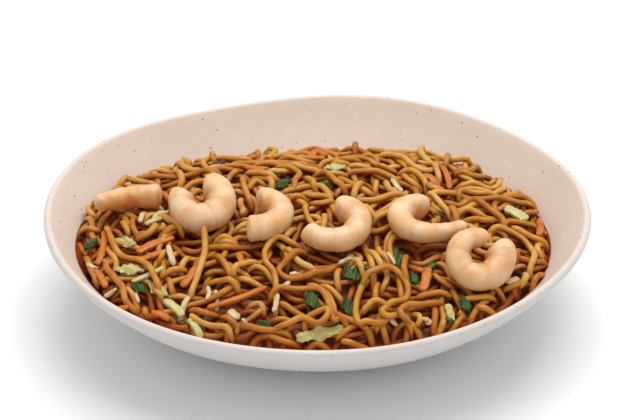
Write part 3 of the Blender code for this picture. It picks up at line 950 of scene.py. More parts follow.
@dataclass
class PrawnBuilder:
    """Skins the prawns with their segments, back furrow and pinched inner curve."""

    heap: HeapForm
    rings: int = 84
    sides: int = 26
    flatness: float = 0.92
    segments: float = 6.0
    segment_drift: float = 0.12
    segmented: tuple[float, float] = (0.12, 0.98)
    segment_fades: tuple[float, float] = (0.1, 0.06)
    crease: float = 0.045
    crease_width: float = 0.10
    furrow: float = 0.05
    furrow_width: float = 0.05
    lumps: tuple[float, float] = (0.022, 0.014)
    fill: float = 1.03
    lap: float = 0.055
    pinch: float = 0.04
    head_end: float = 0.10
    tail_end: float = 0.06
    taper_power: float = 1.4
    finish: PrawnFinish = field(default_factory=PrawnFinish)

    def _path(self, prawn: Prawn) -> np.ndarray:
        """Draw the prawn's middle line in its own level plane.

        Args:
            prawn: the prawn.

        Returns:
            The line's points about its centre, from head to tail.
        """
        share = (np.arange(self.rings - 1) + 0.5) / (self.rings - 1)
        heading = np.radians(prawn.heading + prawn.turn * (1 - (1 - share) ** prawn.hook))
        step = prawn.length / (self.rings - 1)
        flat = np.stack([np.cos(heading), np.sin(heading), np.zeros_like(heading)], axis=1) * step
        points = np.concatenate([np.zeros((1, 3)), np.cumsum(flat, axis=0)])
        return points - (points.min(axis=0) + points.max(axis=0)) / 2

    def _girth(self, share: np.ndarray, taper: float) -> np.ndarray:
        """Thin the prawn to its blunt head and its tapered tail.

        Args:
            share: places along it, from 0 to 1.
            taper: how much thinner the tail is.

        Returns:
            Half the thickness at each place, as a share of the thickest.
        """
        head = np.sqrt(np.clip(1 - np.clip(1 - share / self.head_end, 0, 1) ** 2.4, 0.0, 1.0))
        tail = np.sqrt(np.clip(1 - np.clip(1 - (1 - share) / self.tail_end, 0, 1) ** 2, 0.0, 1.0))
        return (1.0 - taper * share ** self.taper_power) * head * tail

    def _net(self, prawn: Prawn) -> tuple[np.ndarray, dict[str, np.ndarray]]:
        """Shape the prawn's skin.

        Args:
            prawn: the prawn.

        Returns:
            Its points and its marks, by (ring, side).
        """
        share = np.linspace(0.0, 1.0, self.rings)
        angle = np.linspace(0.0, math.tau, self.sides + 1)
        inner = -1.0 if prawn.turn < 0 else 1.0
        belly = (1 + inner * np.cos(angle)) / 2
        back = (1 - inner * np.cos(angle)) / 2
        place = share * self.segments + self.segment_drift * np.sin(5 * share + prawn.heading)
        within = place - np.floor(place)
        gap = np.exp(-(np.minimum(within, 1 - within) / self.crease_width) ** 2)
        lap = (within - 0.5) * self.lap
        (first, last), (fade_in, fade_out) = self.segmented, self.segment_fades
        body = np.clip((share - first) / fade_in, 0, 1) * np.clip((last - share) / fade_out, 0, 1)
        relief = 1.0 + body[:, None] * (lap[:, None] * (0.4 + 0.6 * back)
                                        - gap[:, None] * self.crease * (0.55 + 1.1 * belly ** 2))
        furrow = 1.0 - self.furrow * body[:, None] * np.exp(-((1 - back) / self.furrow_width))
        coarse, fine = self.lumps
        lumps = 1.0 + coarse * np.sin(9 * share[:, None] + 2 * angle + prawn.heading) \
            + fine * np.sin(23 * share[:, None] - 3 * angle + prawn.turn)
        girth = prawn.thickness / 2 * self.fill * self._girth(share, prawn.taper)[:, None]
        half = girth * relief * furrow * lumps
        pinch = 1.0 - self.pinch * belly ** 3
        net = tube_net(self._path(prawn), half * pinch, half * self.flatness, self.sides)
        low, high = prawn.blush
        half_run = max(1e-3, (high - low) / 2)
        inside = np.exp(-((share - (low + high) / 2) / half_run) ** 4) if high else share * 0
        # The shade mark rises from the top to the underside, for painted shade there.
        under = np.broadcast_to((1 - np.sin(angle)) / 2, net.shape[:2])
        red = inside[:, None] * belly ** 3
        return net, {BLUSH: red, SHADE_MARK: under, BELLY: belly[None, :] + 0 * under}

    def build(self) -> list[np.ndarray]:
        """Build every prawn in its CAD solid's place.

        Returns:
            Each prawn's points.
        """
        material = self.finish.material()
        clouds = []
        for count, prawn in enumerate(PRAWNS, 1):
            shape = new_shape()
            net, marks = self._net(prawn)
            lay_net(shape, net, marks)
            tilt = Matrix.Rotation(math.radians(prawn.tilt), 4, "X")
            lean = tilt @ Matrix.Rotation(math.radians(prawn.roll), 4, "Y")
            bmesh.ops.transform(shape, matrix=lean, verts=shape.verts)
            clouds.append(dress_node(f"prawn_{count}", "flesh", shape, material))
        return clouds


@dataclass
class ShredBuilder:
    """Makes the vegetable shreds and the scraps of leaf on the bare core."""

    heap: HeapForm
    rings: int = 26
    sides: int = 12
    squareness: float = 7.0
    leaf_steps: tuple[int, int] = (26, 12)
    leaf_thickness: float = 0.0008
    leaf_lift: float = 0.0008
    leaf_ripple: float = 0.0007
    leaf_narrowing: float = 0.93
    leaf_rags: tuple[float, float] = (0.12, 0.08)
    leaf_folds: tuple[float, float] = (0.5, 0.35)
    end_thinning: float = 0.22
    lumps: tuple[float, float] = (0.07, 0.05)

    def strip_net(self, spots: np.ndarray, width: float, thickness: float, seed: float) -> np.ndarray:
        """Ring a path with a soft-cornered section that thins unevenly to its ends.

        Args:
            spots: the path's points.
            width: the section's full width.
            thickness: its full height.
            seed: shifts the unevenness.

        Returns:
            The rings' points, by (place, side, axis).
        """
        share = np.linspace(0.0, 1.0, len(spots))
        angle = np.linspace(0.0, math.tau, self.sides + 1)
        power = self.squareness
        corner = (np.abs(np.cos(angle)) ** power + np.abs(np.sin(angle)) ** power) ** (-1 / power)
        body = rounded_ends(len(spots), 2) * (1 - self.end_thinning * np.abs(2 * share - 1) ** 3)
        coarse, fine = self.lumps
        uneven = 1 + coarse * np.sin(17 * share + seed) + fine * np.sin(41 * share + 2 * seed)
        size = (body * uneven)[:, None] * corner
        return tube_net(spots, size * width / 2, size * thickness / 2, self.sides)

    def _shred(self, strip: Strip, count: int) -> bmesh.types.BMesh:
        """Make one shred that bows over the bare core.

        Args:
            strip: the shred.
            count: its number, which sets its unevenness.

        Returns:
            Its mesh.
        """
        start, end = Vector(strip.start), Vector(strip.end)
        aside = (end - start).orthogonal().normalized()
        share = np.linspace(0.0, 1.0, self.rings)[:, None]
        flat = np.array(start) + (np.array(end) - np.array(start)) * share
        flat = flat + np.array(aside) * (4 * strip.bow * share * (1 - share))
        rise = self.heap.height(flat[:, 0], flat[:, 1])
        shape = new_shape()
        net = self.strip_net(np.column_stack([flat, rise]), strip.width, strip.thickness, 1.7 * count)
        lay_net(shape, net, {})
        return shape

    def _scrap(self, leaf: Leaf, count: int) -> bmesh.types.BMesh:
        """Make one wavy scrap with ragged edges on the bare core.

        Args:
            leaf: the scrap.
            count: its number, which sets its unevenness.

        Returns:
            Its mesh.
        """
        rows, columns = self.leaf_steps
        along = np.linspace(-1, 1, rows + 1)[:, None]
        across = np.linspace(-1, 1, columns + 1)[None, :]
        coarse, fine = self.leaf_rags
        ragged = 1 + coarse * np.sin(11 * along + count) + fine * np.sin(27 * along + 2 * count)
        narrow = np.sqrt(np.clip(1.0 - self.leaf_narrowing * along ** 2, 0, 1)) * ragged
        turn = math.radians(leaf.heading)
        run, side = along * leaf.length / 2 + 0 * across, across * narrow * leaf.width / 2
        x = leaf.x + run * math.cos(turn) - side * math.sin(turn)
        y = leaf.y + run * math.sin(turn) + side * math.cos(turn)
        coarse, fine = self.leaf_folds
        fold = 1 + np.sin(math.pi * leaf.waves * along + 2 * across)
        fold = fold + coarse * np.sin(7 * along + 5 * across + count)
        fold = fold + fine * np.sin(15 * along - 8 * across + 2 * count)
        z = self.heap.height(x, y) + self.leaf_lift + self.leaf_ripple * fold
        shape = new_shape()
        lay_net(shape, np.stack([x, y, z], axis=2), {})
        bmesh.ops.recalc_face_normals(shape, faces=shape.faces)
        bmesh.ops.solidify(shape, geom=shape.faces, thickness=self.leaf_thickness)
        return shape

    def build(self, kind: str, toppings: tuple[Strip | Leaf, ...], finish: ShredFinish,
              slot: Slot) -> list[np.ndarray]:
        """Build shreds or scraps over their CAD solids.

        Args:
            kind: what the nodes are called.
            toppings: the strips or the leaves.
            finish: what they wear.
            slot: not used.

        Returns:
            Each one's points.
        """
        material = finish.material()
        clouds = []
        for count, topping in enumerate(toppings, 1):
            leafy = isinstance(topping, Leaf)
            shape = self._scrap(topping, count) if leafy else self._shred(topping, count)
            ending = "scrap" if leafy else "shred"
            clouds.append(dress_node(f"{kind}_{count}", ending, shape, material))
        return clouds


@dataclass
class Relief:
    """The top of everything in the bowl, as heights on a fine square net."""

    heap: HeapForm
    cell: float = 0.0005
    reach: tuple[float, float] = (0.142, 0.128)
    sink: float = 0.0064
    cover: float = 0.0030
    margin: int = 8
    tops: np.ndarray = field(init=False)
    aim: np.ndarray = field(init=False)
    closed: np.ndarray = field(init=False)

    def __post_init__(self) -> None:
        """Start from the sunken bed and the bowl's wall."""
        x = np.arange(-self.reach[0], self.reach[0], self.cell)
        y = np.arange(-self.reach[1], self.reach[1], self.cell)
        gx, gy = np.meshgrid(x, y, indexing="ij")
        core = self.heap.height(gx, gy)
        wall = self.heap.bowl.inside_top(gx, gy)
        self.tops = np.maximum(core - self.sink, wall)
        self.aim = core + self.cover
        self.closed = np.zeros(self.tops.shape, dtype=bool)

    def cells(self, spots: np.ndarray) -> tuple[np.ndarray, np.ndarray]:
        """Find places on the net.

        Args:
            spots: the places, by (place, axis).

        Returns:
            Their rows and their columns.
        """
        place = ((spots[:, :2] + np.array(self.reach)) / self.cell).round().astype(int)
        last = np.array(self.tops.shape) - 1 - self.margin
        row, column = np.clip(place, self.margin, last).T
        return row, column

    def _patch(self, spots: np.ndarray, radius: float) -> tuple[np.ndarray, np.ndarray, np.ndarray]:
        """Find the cells under balls.

        Args:
            spots: the balls' middles, by (place, axis).
            radius: their radius.

        Returns:
            The cells' rows and columns, by (ball, cell), and how far a ball stands over its middle in each.
        """
        span = int(math.ceil(radius / self.cell))
        side = np.arange(-span, span + 1)
        dx, dy = [part.ravel() for part in np.meshgrid(side, side, indexing="ij")]
        keep = np.hypot(dx, dy) * self.cell <= radius
        dx, dy = dx[keep], dy[keep]
        cap = np.sqrt(np.maximum(0.0, radius ** 2 - (dx ** 2 + dy ** 2) * self.cell ** 2))
        row, column = self.cells(spots)
        return row[:, None] + dx, column[:, None] + dy, cap

    def rest(self, spots: np.ndarray, radius: float) -> np.ndarray:
        """Return how high balls of a radius rest at places."""
        row, column, cap = self._patch(spots, radius)
        return (self.tops[row, column] + cap).max(axis=1)

    def add(self, points: np.ndarray, radius: float) -> None:
        """Raise the net to balls of a radius at points."""
        row, column, cap = self._patch(points, radius)
        np.maximum.at(self.tops, (row, column), points[:, 2:3] + cap)

    def close(self, points: np.ndarray, radius: float) -> None:
        """Bar places near points to the noodles on top."""
        row, column, _ = self._patch(points, radius)
        self.closed[row, column] = True

    def barred(self, spots: np.ndarray) -> np.ndarray:
        """Say which places are barred."""
        return self.closed[self.cells(spots)]

    def lack(self, spots: np.ndarray) -> np.ndarray:
        """Return how far the tops at places lie below their aim."""
        cells = self.cells(spots)
        return self.aim[cells] - self.tops[cells]


@dataclass(frozen=True)
class Layer:
    """One layer of noodles: how many, how long, how curled, how finely skinned, how far over their aim."""

    name: str
    count: int
    longest: float
    curl: float
    sides: int
    step: float
    over: float


LAYERS = (
    Layer("noodles_deep", 190, 0.080, 1.1, 7, 0.0022, -0.0044),
    Layer("noodles_middle", 180, 0.090, 1.5, 8, 0.0019, -0.0020),
    Layer("noodles_top", 150, 0.100, 1.6, 9, 0.0017, 0.0010),
)


# Courses of noodles that stand out, followed in the photograph's frame, from end to end.
# The lower ones are crossed by those further down each list.
COURSES_UNDER = (
    ((116, 257), (106, 264), (112, 274), (122, 286), (125, 297), (132, 306), (141, 307)),
    ((161, 237), (175, 229), (194, 227), (203, 231), (212, 236)),
    ((181, 239), (186, 245), (196, 248), (211, 245), (225, 246), (246, 243), (269, 239), (276, 239)),
    ((211, 253), (222, 261), (231, 274), (232, 281)),
    ((202, 279), (215, 279), (229, 284), (244, 290)),
    ((188, 304), (199, 311), (212, 311), (222, 306)),
    ((191, 311), (195, 320), (212, 330), (226, 337), (234, 342)),
    ((219, 311), (225, 316), (234, 324), (238, 333), (236, 341)),
    ((169, 243), (162, 252), (156, 259)),
    ((179, 244), (172, 253), (166, 260)),
    ((146, 300), (145, 309), (151, 316)),
    ((84, 246), (88, 256), (92, 268), (98, 281)),
    ((142, 220), (150, 212), (163, 214), (172, 224), (184, 232)),
    ((130, 188), (118, 190), (108, 196)),
    ((236, 276), (254, 279), (269, 284)),
    ((232, 280), (238, 270), (249, 263), (261, 258)),
    ((242, 301), (254, 299), (261, 301), (265, 311)),
    ((239, 326), (254, 330), (275, 329), (295, 333)),
    ((264, 320), (282, 316), (299, 319)),
    ((282, 244), (291, 251), (299, 261), (311, 269), (325, 271)),
    ((309, 246), (299, 253), (289, 259), (279, 266), (281, 271), (291, 276), (311, 275), (328, 270),
     (335, 263), (336, 257)),
    ((306, 244), (294, 243), (282, 239), (271, 243), (265, 253), (266, 263), (274, 272), (276, 287),
     (276, 301), (275, 314)),
    ((278, 299), (289, 306), (305, 313), (314, 316)),
    ((305, 280), (316, 283), (326, 289), (331, 299), (334, 311), (334, 322)),
    ((318, 280), (331, 286), (341, 294), (347, 302)),
    ((268, 297), (279, 290), (294, 287), (311, 287), (322, 291), (328, 303), (331, 316), (334, 327),
     (341, 337), (350, 341)),
    ((306, 330), (305, 321), (314, 316), (326, 317), (328, 323), (318, 331), (304, 337), (286, 341),
     (270, 342)),
    ((346, 263), (354, 261), (362, 269), (366, 277)),
    ((366, 277), (359, 290), (356, 301), (356, 316), (359, 330), (366, 339), (378, 341), (386, 338),
     (385, 333), (375, 331)),
    ((375, 304), (376, 287), (379, 276)),
    ((361, 311), (376, 304), (395, 307)),
    ((365, 245), (376, 255), (384, 269)),
    ((379, 238), (379, 249), (386, 257), (394, 267)),
    ((410, 245), (414, 254), (424, 257), (437, 252), (443, 249)),
    ((433, 266), (437, 275), (447, 281), (456, 282)),
    ((434, 256), (444, 262), (450, 271), (454, 278)),
    ((409, 309), (419, 314), (419, 324), (413, 331)),
    ((457, 295), (471, 296), (489, 295), (497, 292)),
    ((474, 301), (483, 308), (499, 311)),
    ((454, 305), (461, 309), (466, 316)),
    ((486, 231), (506, 229), (523, 234), (533, 248), (534, 258), (530, 268), (536, 279)),
    ((489, 236), (501, 235), (510, 241)),
    ((526, 245), (518, 250), (517, 259)),
    ((520, 271), (521, 279), (514, 285), (501, 286)),
    ((524, 265), (526, 278), (520, 286)),
    ((545, 269), (530, 287)),
    ((440, 196), (458, 202), (470, 200), (486, 206), (500, 216), (506, 226)),
    ((297, 188), (313, 192), (333, 195)),
    ((352, 197), (373, 199), (393, 194), (408, 192)),
    ((353, 198), (357, 188), (367, 177)),
    ((385, 177), (388, 188), (395, 193)),
    ((225, 178), (232, 171), (240, 165)),
    ((242, 172), (245, 188), (253, 202)),
    ((248, 188), (257, 180), (268, 182)),
    ((303, 172), (317, 188)),
    ((340, 172), (360, 171), (377, 172), (393, 177), (403, 182)),
    ((227, 161), (260, 161), (290, 160), (313, 163)),
    ((317, 167), (327, 160), (343, 155), (357, 154), (368, 157), (377, 164), (390, 167), (402, 166)),
    ((297, 220), (291, 230), (284, 240)),
)
COURSES_OVER = (
    ((105, 223), (109, 234), (114, 246), (122, 254), (136, 259), (148, 266), (155, 280), (161, 291)),
    ((204, 234), (205, 253), (199, 273), (193, 287), (189, 297)),
    ((395, 310), (385, 316), (382, 323), (389, 331), (401, 332), (413, 338)),
    ((383, 317), (394, 309), (404, 302), (408, 293), (407, 284), (401, 276), (391, 271), (380, 273),
     (368, 279), (361, 286)),
    ((407, 252), (405, 262), (404, 272), (407, 284)),
    ((447, 298), (427, 304), (409, 309), (400, 318), (403, 326), (411, 336)),
)


@dataclass(frozen=True)
class Bit:
    """A loose shred: its course in the photograph's frame, its width and its thickness."""

    course: tuple[tuple[int, int], ...]
    width: float
    thickness: float = 0.0018


SPROUT_BITS = (
    Bit(((189, 293), (184, 304), (179, 316)), 0.0026),
    Bit(((118, 268), (133, 266), (147, 274)), 0.0026),
    Bit(((103, 291), (110, 287), (117, 288)), 0.0032),
    Bit(((134, 284), (136, 293), (139, 301)), 0.0018),
    Bit(((228, 305), (234, 309), (240, 312)), 0.0046),
    Bit(((241, 313), (247, 317), (253, 325)), 0.0024),
    Bit(((283, 287), (286, 282), (290, 277)), 0.0026),
    Bit(((289, 272), (295, 270), (298, 272)), 0.0026),
    Bit(((278, 299), (276, 308), (273, 316)), 0.0024),
    Bit(((351, 247), (350, 253), (347, 259)), 0.0036),
    Bit(((386, 255), (392, 262), (395, 268)), 0.0016),
    Bit(((423, 333), (427, 328), (429, 322)), 0.0036),
    Bit(((388, 322), (394, 325), (398, 330)), 0.0030),
    Bit(((505, 284), (512, 280), (519, 277)), 0.0036),
    Bit(((391, 178), (397, 183), (402, 189)), 0.0028),
    Bit(((168, 208), (158, 213), (150, 222)), 0.0030),
    Bit(((150, 209), (143, 214), (140, 222)), 0.0026),
    Bit(((168, 245), (171, 255), (174, 262)), 0.0030),
    Bit(((158, 196), (163, 200), (168, 206)), 0.0024),
    Bit(((86, 262), (93, 264), (99, 262)), 0.0022),
    Bit(((206, 298), (209, 290), (207, 282)), 0.0022),
    Bit(((216, 303), (217, 295), (215, 287)), 0.0020),
    Bit(((448, 240), (458, 244), (466, 249)), 0.0020),
    Bit(((338, 263), (344, 260), (352, 262)), 0.0022),
)
CARROT_BITS = (
    Bit(((118, 303), (123, 307), (129, 310)), 0.0034),
    Bit(((153, 233), (146, 241), (138, 249)), 0.0036),
    Bit(((250, 168), (257, 166), (265, 168)), 0.0034),
    Bit(((408, 168), (414, 168), (420, 171)), 0.0044),
    Bit(((420, 174), (430, 176), (440, 184)), 0.0040),
    Bit(((443, 228), (449, 221), (456, 217)), 0.0016),
    Bit(((536, 214), (543, 221), (546, 228)), 0.0028),
    Bit(((270, 172), (282, 173), (293, 178)), 0.0022),
    Bit(((78, 232), (83, 238), (86, 244)), 0.0026),
    Bit(((308, 157), (317, 154), (327, 156)), 0.0048, 0.0030),
)
GREEN_BITS = (
    Bit(((427, 265), (432, 262), (437, 262)), 0.0034),
    Bit(((172, 186), (176, 189), (181, 190)), 0.0032),
    Bit(((435, 213), (439, 212), (444, 212)), 0.0034),
    Bit(((308, 293), (309, 301), (310, 309)), 0.0020),
    Bit(((364, 271), (368, 270), (373, 271)), 0.0030),
    Bit(((337, 196), (341, 194), (345, 193)), 0.0028),
    Bit(((476, 291), (481, 291), (487, 290)), 0.0024),
    Bit(((445, 318), (450, 319), (455, 318)), 0.0034),
    Bit(((400, 243), (404, 249), (405, 256)), 0.0026),
    Bit(((178, 316), (182, 318), (186, 317)), 0.0028),
    Bit(((320, 181), (327, 180), (333, 182)), 0.0034),
)
CHAR_BITS = (
    Bit(((208, 164), (216, 162), (226, 160)), 0.0036),
    Bit(((280, 171), (285, 170), (291, 172)), 0.0030),
    Bit(((468, 181), (477, 180), (487, 182)), 0.0034),
    Bit(((312, 196), (320, 198), (328, 199)), 0.0034),
)


@dataclass
class NoodleHeap:
    """The dark bed that paints the shade between the noodles, and the noodles laid on it."""

    heap: HeapForm
    relief: Relief
    sight: Sight
    shreds: ShredBuilder
    radius: float = 0.00158
    bit_step: float = 0.0010
    bit_sink: float = 0.0004
    bit_ease: int = 3
    seed: int = 11
    tries: int = 6
    starts: int = 24
    farthest: float = 0.98
    lengths: tuple[float, float] = (0.45, 1.0)
    start_place: tuple[float, float] = (0.2, 0.8)
    even_bend: float = 22.0
    long_bend: tuple[float, float] = (20, 78)
    short_bend: tuple[float, float] = (0, 34)
    long_wave: tuple[float, float] = (0.030, 0.070)
    short_wave: tuple[float, float] = (0.014, 0.026)
    length_worth: float = 9.0
    height_cost: float = 260.0
    over_cost: float = 500.0
    shortest: float = 0.016
    least_room: float = 0.0008
    most_over: float = 0.0006
    dive: float = 0.0046
    dive_run: float = 0.0075
    soft: float = 0.00035
    slack_rounds: int = 40
    # Painted shade: how far below the aim it reaches full strength, and how much the undersides get.
    shade_depth: float = 0.0085
    shade_under: float = 0.42
    lump: float = 0.05
    lump_turn: float = 0.31
    size_spread: float = 0.035
    widths: tuple[float, float] = (0.98, 1.10)
    heights: tuple[float, float] = (0.90, 1.0)
    course_clearance: float = 1.2
    topping_clearance: float = 0.9
    skin: float = 0.0006
    bed_lift: float = 0.0004
    bed_rough: float = 0.0006
    bed_turns: int = 96
    bed_rings: int = 40
    finish: NoodleFinish = field(default_factory=NoodleFinish)
    draw: np.random.Generator = field(init=False)

    def __post_init__(self) -> None:
        """Seed the draws."""
        self.draw = np.random.default_rng(self.seed)

    def build_bed(self) -> None:
        """Build the closed bed under the noodles, with a low rough top; its dark colour is painted shade for
        the gaps.
        """
        shape = new_shape()
        share = np.linspace(0.0, 1.0, self.bed_rings)
        angle = np.linspace(0.0, math.tau, self.bed_turns + 1)
        reach = np.concatenate([share, share[::-1][1:]])[:, None]
        out = self.heap.edge_reach(angle)
        x, y = reach * out * np.cos(angle), reach * out * np.sin(angle)
        wall = self.heap.bowl.inside_top(x, y) + self.bed_lift
        rough = np.sin(x * 900 + 3 * np.sin(y * 500)) + np.sin(y * 1100 + 2 * np.sin(x * 700))
        rough = self.bed_rough * rough
        top = np.maximum(self.heap.height(x, y) - self.relief.sink + rough * (1 - reach ** 4), wall)
        over = np.arange(len(reach))[:, None] < self.bed_rings - 1
        z = np.where(over, top, wall)
        z[0], z[-1] = z[0].mean(), z[-1].mean()
        lay_net(shape, np.stack([x, y, z], axis=2), {})
        finish_piece("noodle_bed", shape, GapShadeFinish().material(), ("noodles",))

    def _wander(self, start: np.ndarray, layer: Layer) -> np.ndarray:
        """Draw a curling level path.

        Args:
            start: a place that it goes through.
            layer: the noodle's layer.

        Returns:
            Its places from above, at even steps.
        """
        count = int(self.draw.uniform(*self.lengths) * layer.longest / layer.step)
        run = (np.arange(count) - count * self.draw.uniform(*self.start_place)) * layer.step
        phase = self.draw.uniform(0, math.tau, 2)
        wave = self.draw.uniform(*self.long_wave), self.draw.uniform(*self.short_wave)
        bend = self.draw.normal(0, self.even_bend)
        bend = bend + self.draw.uniform(*self.long_bend) * np.sin(math.tau * run / wave[0] + phase[0])
        bend = bend + self.draw.uniform(*self.short_bend) * np.sin(math.tau * run / wave[1] + phase[1])
        heading = self.draw.uniform(0, math.tau) + np.cumsum(bend) * layer.step * layer.curl
        path = np.cumsum(np.stack([np.cos(heading), np.sin(heading)], axis=1), axis=0) * layer.step
        return path - path[np.argmin(np.abs(run))] + start

    def _free_run(self, path: np.ndarray, keep_clear: bool) -> np.ndarray:
        """Cut a path to its longest stretch inside the heap.

        Args:
            path: its places from above.
            keep_clear: whether it also stays off the toppings.

        Returns:
            That stretch, which may be empty.
        """
        free = self.heap.share(path[:, 0], path[:, 1]) < 1.0
        if keep_clear:
            free &= ~self.relief.barred(path)
        edges = np.flatnonzero(np.diff(np.concatenate([[0], free.astype(int), [0]])))
        if not len(edges):
            return path[:0]
        runs = edges.reshape(-1, 2)
        low, high = runs[np.argmax(runs[:, 1] - runs[:, 0])]
        return path[low:high]

    def _drape(self, path: np.ndarray) -> np.ndarray:
        """Rest a level path on the net and ease it over the gaps.

        Args:
            path: its places from above.

        Returns:
            The height at each place.
        """
        floor = self.relief.rest(path, self.radius) - self.soft
        height = floor.copy()
        for _ in range(self.slack_rounds):
            eased = height.copy()
            eased[1:-1] = (height[:-2] + 2 * height[1:-1] + height[2:]) / 4
            height = np.maximum(floor, eased)
        return height

    def _choose(self, layer: Layer, keep_clear: bool) -> np.ndarray | None:
        """Try a few wandering paths from a low spot and choose the one that lies best.

        Args:
            layer: the noodle's layer.
            keep_clear: whether it stays off the toppings.

        Returns:
            The path's points, or None if no path fits.
        """
        out = self.draw.uniform(0, 1, self.starts) ** 0.5 * self.farthest
        angle = self.draw.uniform(0, math.tau, self.starts)
        reach = out * self.heap.edge_reach(angle)
        spots = np.stack([reach * np.cos(angle), reach * np.sin(angle)], axis=1)
        lack = self.relief.lack(spots)
        if keep_clear:
            lack = np.where(self.relief.barred(spots), -1.0, lack)
        if lack.max() < -layer.over + self.least_room:
            return None
        start = spots[np.argmax(lack)]
        best, best_score = None, -math.inf
        for _ in range(self.tries):
            path = self._free_run(self._wander(start, layer), keep_clear)
            if len(path) * layer.step < self.shortest:
                continue
            height = self._drape(path)
            cells = self.relief.cells(path)
            above = height + self.radius - self.relief.aim[cells] - layer.over
            if above.mean() > self.most_over:
                continue
            score = self.length_worth * len(path) * layer.step - self.height_cost * above.mean()
            score -= self.over_cost * np.maximum(0, above).mean()
            if score > best_score:
                best, best_score = np.column_stack([path, height]), score
        return best

    def _tuck(self, points: np.ndarray, layer: Layer) -> np.ndarray:
        """Dip both ends of a noodle between its neighbours.

        Args:
            points: the noodle's points.
            layer: the noodle's layer.

        Returns:
            The points with the ends dipped.
        """
        run = np.arange(len(points)) * layer.step
        near = np.minimum(run, run[::-1]) / self.dive_run
        tucked = points.copy()
        tucked[:, 2] -= self.dive * np.clip(1 - near, 0, 1) ** 2
        return tucked

    def _skin(self, shape: bmesh.types.BMesh, points: np.ndarray, sides: int) -> None:
        """Skin one noodle, slightly uneven in thickness, with its own tone and a mark for painted shade deep
        in the heap and on its underside.

        Args:
            shape: the mesh that grows.
            points: the noodle's points.
            sides: how many faces go round it.
        """
        count = len(points)
        share = np.linspace(0, 1, count)
        uneven = 1 + self.lump * np.sin(share * count * self.lump_turn + self.draw.uniform(0, 6))
        size = self.radius * (uneven + self.draw.normal(0, self.size_spread)) * rounded_ends(count, 2)
        wide, tall = size * self.draw.uniform(*self.widths), size * self.draw.uniform(*self.heights)
        net = tube_net(points, wide, tall, sides)
        cells = self.relief.cells(points)
        # Painted shade: the mark grows with depth below the heap's aim and on the noodle's underside.
        under = (1 - np.sin(np.linspace(0.0, math.tau, sides + 1))) / 2
        low = (self.relief.aim[cells] - net[:, :, 2].T).T / self.shade_depth
        depth = np.clip(low, 0, 1) + self.shade_under * under ** 2
        lay_net(shape, net, {TONE: np.full((count, 1), self.draw.uniform(0, 1)), SHADE_MARK: depth})

    def build_layer(self, layer: Layer, keep_clear: bool, material: bpy.types.Material) -> None:
        """Lay one layer of noodles and skin them as one piece.

        Args:
            layer: the layer.
            keep_clear: whether the noodles stay off the toppings.
            material: what they wear.
        """
        shape = new_shape()
        laid = 0
        for _ in range(layer.count * 2):
            points = self._choose(layer, keep_clear)
            if points is None or laid >= layer.count:
                continue
            tucked = self._tuck(points, layer)
            self.relief.add(tucked, self.radius)
            self._skin(shape, tucked, layer.sides)
            laid += 1
        finish_piece(layer.name, shape, material, ("noodles",))
        log.info("%s: %d noodles", layer.name, laid)

    def build_drawn(self, name: str, courses: tuple, material: bpy.types.Material) -> None:
        """Lay the noodles whose course was followed, draped over what lies there.

        Args:
            name: what the piece is called.
            courses: their courses in view.
            material: what they wear.
        """
        shape = new_shape()
        layer = LAYERS[-1]
        for course in courses:
            spots = self.sight.onto(self.heap, np.array(course, dtype=float), self.relief.cover)
            path = resample(spots, layer.step)
            points = np.column_stack([path, self._drape(path)])
            self.relief.add(points, self.radius)
            self.relief.close(points, self.radius * self.course_clearance)
            self._skin(shape, self._tuck(points, layer), layer.sides)
        finish_piece(name, shape, material, ("noodles",))
        log.info("%s: %d noodles", name, len(courses))

    def build_bits(self, name: str, bits: tuple[Bit, ...], finish: ShredFinish) -> None:
        """Lay loose shreds on the heap, pressed in a little, as one piece.

        Args:
            name: what the piece is called.
            bits: the shreds.
            finish: what they wear.
        """
        shape = new_shape()
        for count, bit in enumerate(bits):
            spots = self.sight.onto(self.heap, np.array(bit.course, dtype=float), self.relief.cover)
            path = resample(spots, self.bit_step)
            top = self.relief.rest(path, bit.width / 2) - bit.width / 2 + bit.thickness / 2 - self.bit_sink
            ease = np.full(2 * self.bit_ease + 1, 1 / (2 * self.bit_ease + 1))
            height = np.convolve(np.pad(top, self.bit_ease, mode="edge"), ease, mode="valid")
            points = np.column_stack([path, height])
            lay_net(shape, self.shreds.strip_net(points, bit.width, bit.thickness, 2.3 * count), {})
            self.relief.add(points, bit.thickness / 2)
            self.relief.close(points[2:-2], bit.width / 2)
        finish_piece(name, shape, finish.material())

    def build(self, clouds: list[np.ndarray]) -> None:
        """Build the bed and every layer, the last one round the toppings.

        Args:
            clouds: the toppings' points.
        """
        self.build_bed()
        material = self.finish.material()
        for layer in LAYERS[:-1]:
            self.build_layer(layer, False, material)
        self.build_drawn("noodles_under", COURSES_UNDER, material)
        self.build_bits("pale_bits", SPROUT_BITS, SPROUT)
        self.build_bits("carrot_bits", CARROT_BITS, CARROT)
        self.build_bits("green_bits", GREEN_BITS, GREEN)
        self.build_bits("char_bits", CHAR_BITS, CHAR)
        for cloud in clouds:
            self.relief.add(cloud, self.skin)
            self.relief.close(cloud, self.radius * self.topping_clearance)
        self.build_drawn("noodles_over", COURSES_OVER, material)
        self.build_layer(LAYERS[-1], True, material)


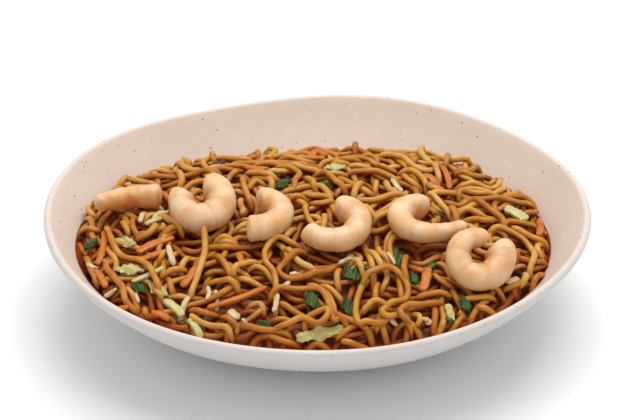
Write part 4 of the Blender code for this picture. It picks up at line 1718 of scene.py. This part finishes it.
@dataclass
class Studio:
    """The pale floor, the soft lights and the camera at the photograph's angle."""

    sight: Sight = field(default_factory=Sight)
    sensor: float = 36.0
    floor_size: float = 8.0
    sky: float = 0.66
    key_power: float = 15.5
    key_size: float = 1.2
    key_place: tuple[float, float, float] = (0.12, 0.36, 1.38)

    def build_floor(self) -> None:
        """Lay the floor."""
        shape = new_shape()
        bmesh.ops.create_grid(shape, x_segments=1, y_segments=1, size=self.floor_size / 2)
        mesh = bpy.data.meshes.new("floor")
        shape.to_mesh(mesh)
        shape.free()
        mesh.materials.append(FloorFinish().material())
        floor = bpy.data.objects.new("floor", mesh)
        bpy.context.scene.collection.objects.link(floor)

    def build_lights(self) -> None:
        """Hang one large soft light over an even white sky."""
        scene = bpy.context.scene
        world = bpy.data.worlds.new("studio")
        world.use_nodes = True
        world.node_tree.nodes["Background"].inputs["Color"].default_value = (1.0, 1.0, 1.0, 1.0)
        world.node_tree.nodes["Background"].inputs["Strength"].default_value = self.sky
        scene.world = world
        lamp = bpy.data.lights.new("key", "AREA")
        lamp.energy = self.key_power
        lamp.size = self.key_size
        key = bpy.data.objects.new("key", lamp)
        key.location = self.key_place
        key.rotation_euler = (-Vector(self.key_place)).to_track_quat("-Z", "Y").to_euler()
        scene.collection.objects.link(key)
        scene.view_settings.view_transform = "Standard"

    def build_camera(self) -> None:
        """Point the camera as the photograph was taken."""
        sight = self.sight
        width, height = sight.frame_size
        lens = bpy.data.cameras.new("photo view")
        lens.sensor_width = self.sensor
        lens.lens = sight.focal * self.sensor / width
        lens.shift_x = (width / 2 - sight.centre[0]) / width
        lens.shift_y = (sight.centre[1] - height / 2) / width
        lens.clip_start, lens.clip_end = 0.01, 20.0
        camera = bpy.data.objects.new("photo view", lens)
        low = math.radians(sight.elevation)
        back = Vector((0.0, -math.cos(low), math.sin(low)))
        camera.location = Vector((0.0, 0.0, sight.aim_height)) + back * sight.distance
        camera.rotation_euler = (-back).to_track_quat("-Z", "Y").to_euler()
        bpy.context.scene.collection.objects.link(camera)
        bpy.context.scene.camera = camera

    def build(self) -> None:
        """Build the floor, the lights and the camera."""
        self.build_floor()
        self.build_lights()
        self.build_camera()


def write_sizes() -> None:
    """Update the view layer."""
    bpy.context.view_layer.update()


def main() -> None:
    """Build the bowl, the toppings, the heap and the studio."""
    logging.basicConfig(level=logging.INFO, format="%(message)s")
    heap, sight = HeapForm(), Sight()
    Bowl().build()
    clouds = PrawnBuilder(heap).build()
    shreds = ShredBuilder(heap)
    clouds += shreds.build("carrot", CARROTS, CARROT, Slot.CARROT)
    clouds += shreds.build("cabbage_stem", CABBAGE_STEMS, CABBAGE, Slot.CABBAGE)
    clouds += shreds.build("cabbage_leaf", CABBAGE_LEAVES, CABBAGE, Slot.CABBAGE)
    clouds += shreds.build("greens", GREENS, GREEN, Slot.GREENS)
    NoodleHeap(heap, Relief(heap), sight, shreds).build(clouds)
    Studio(sight).build()
    write_sizes()


if __name__ == "__main__":
    main()
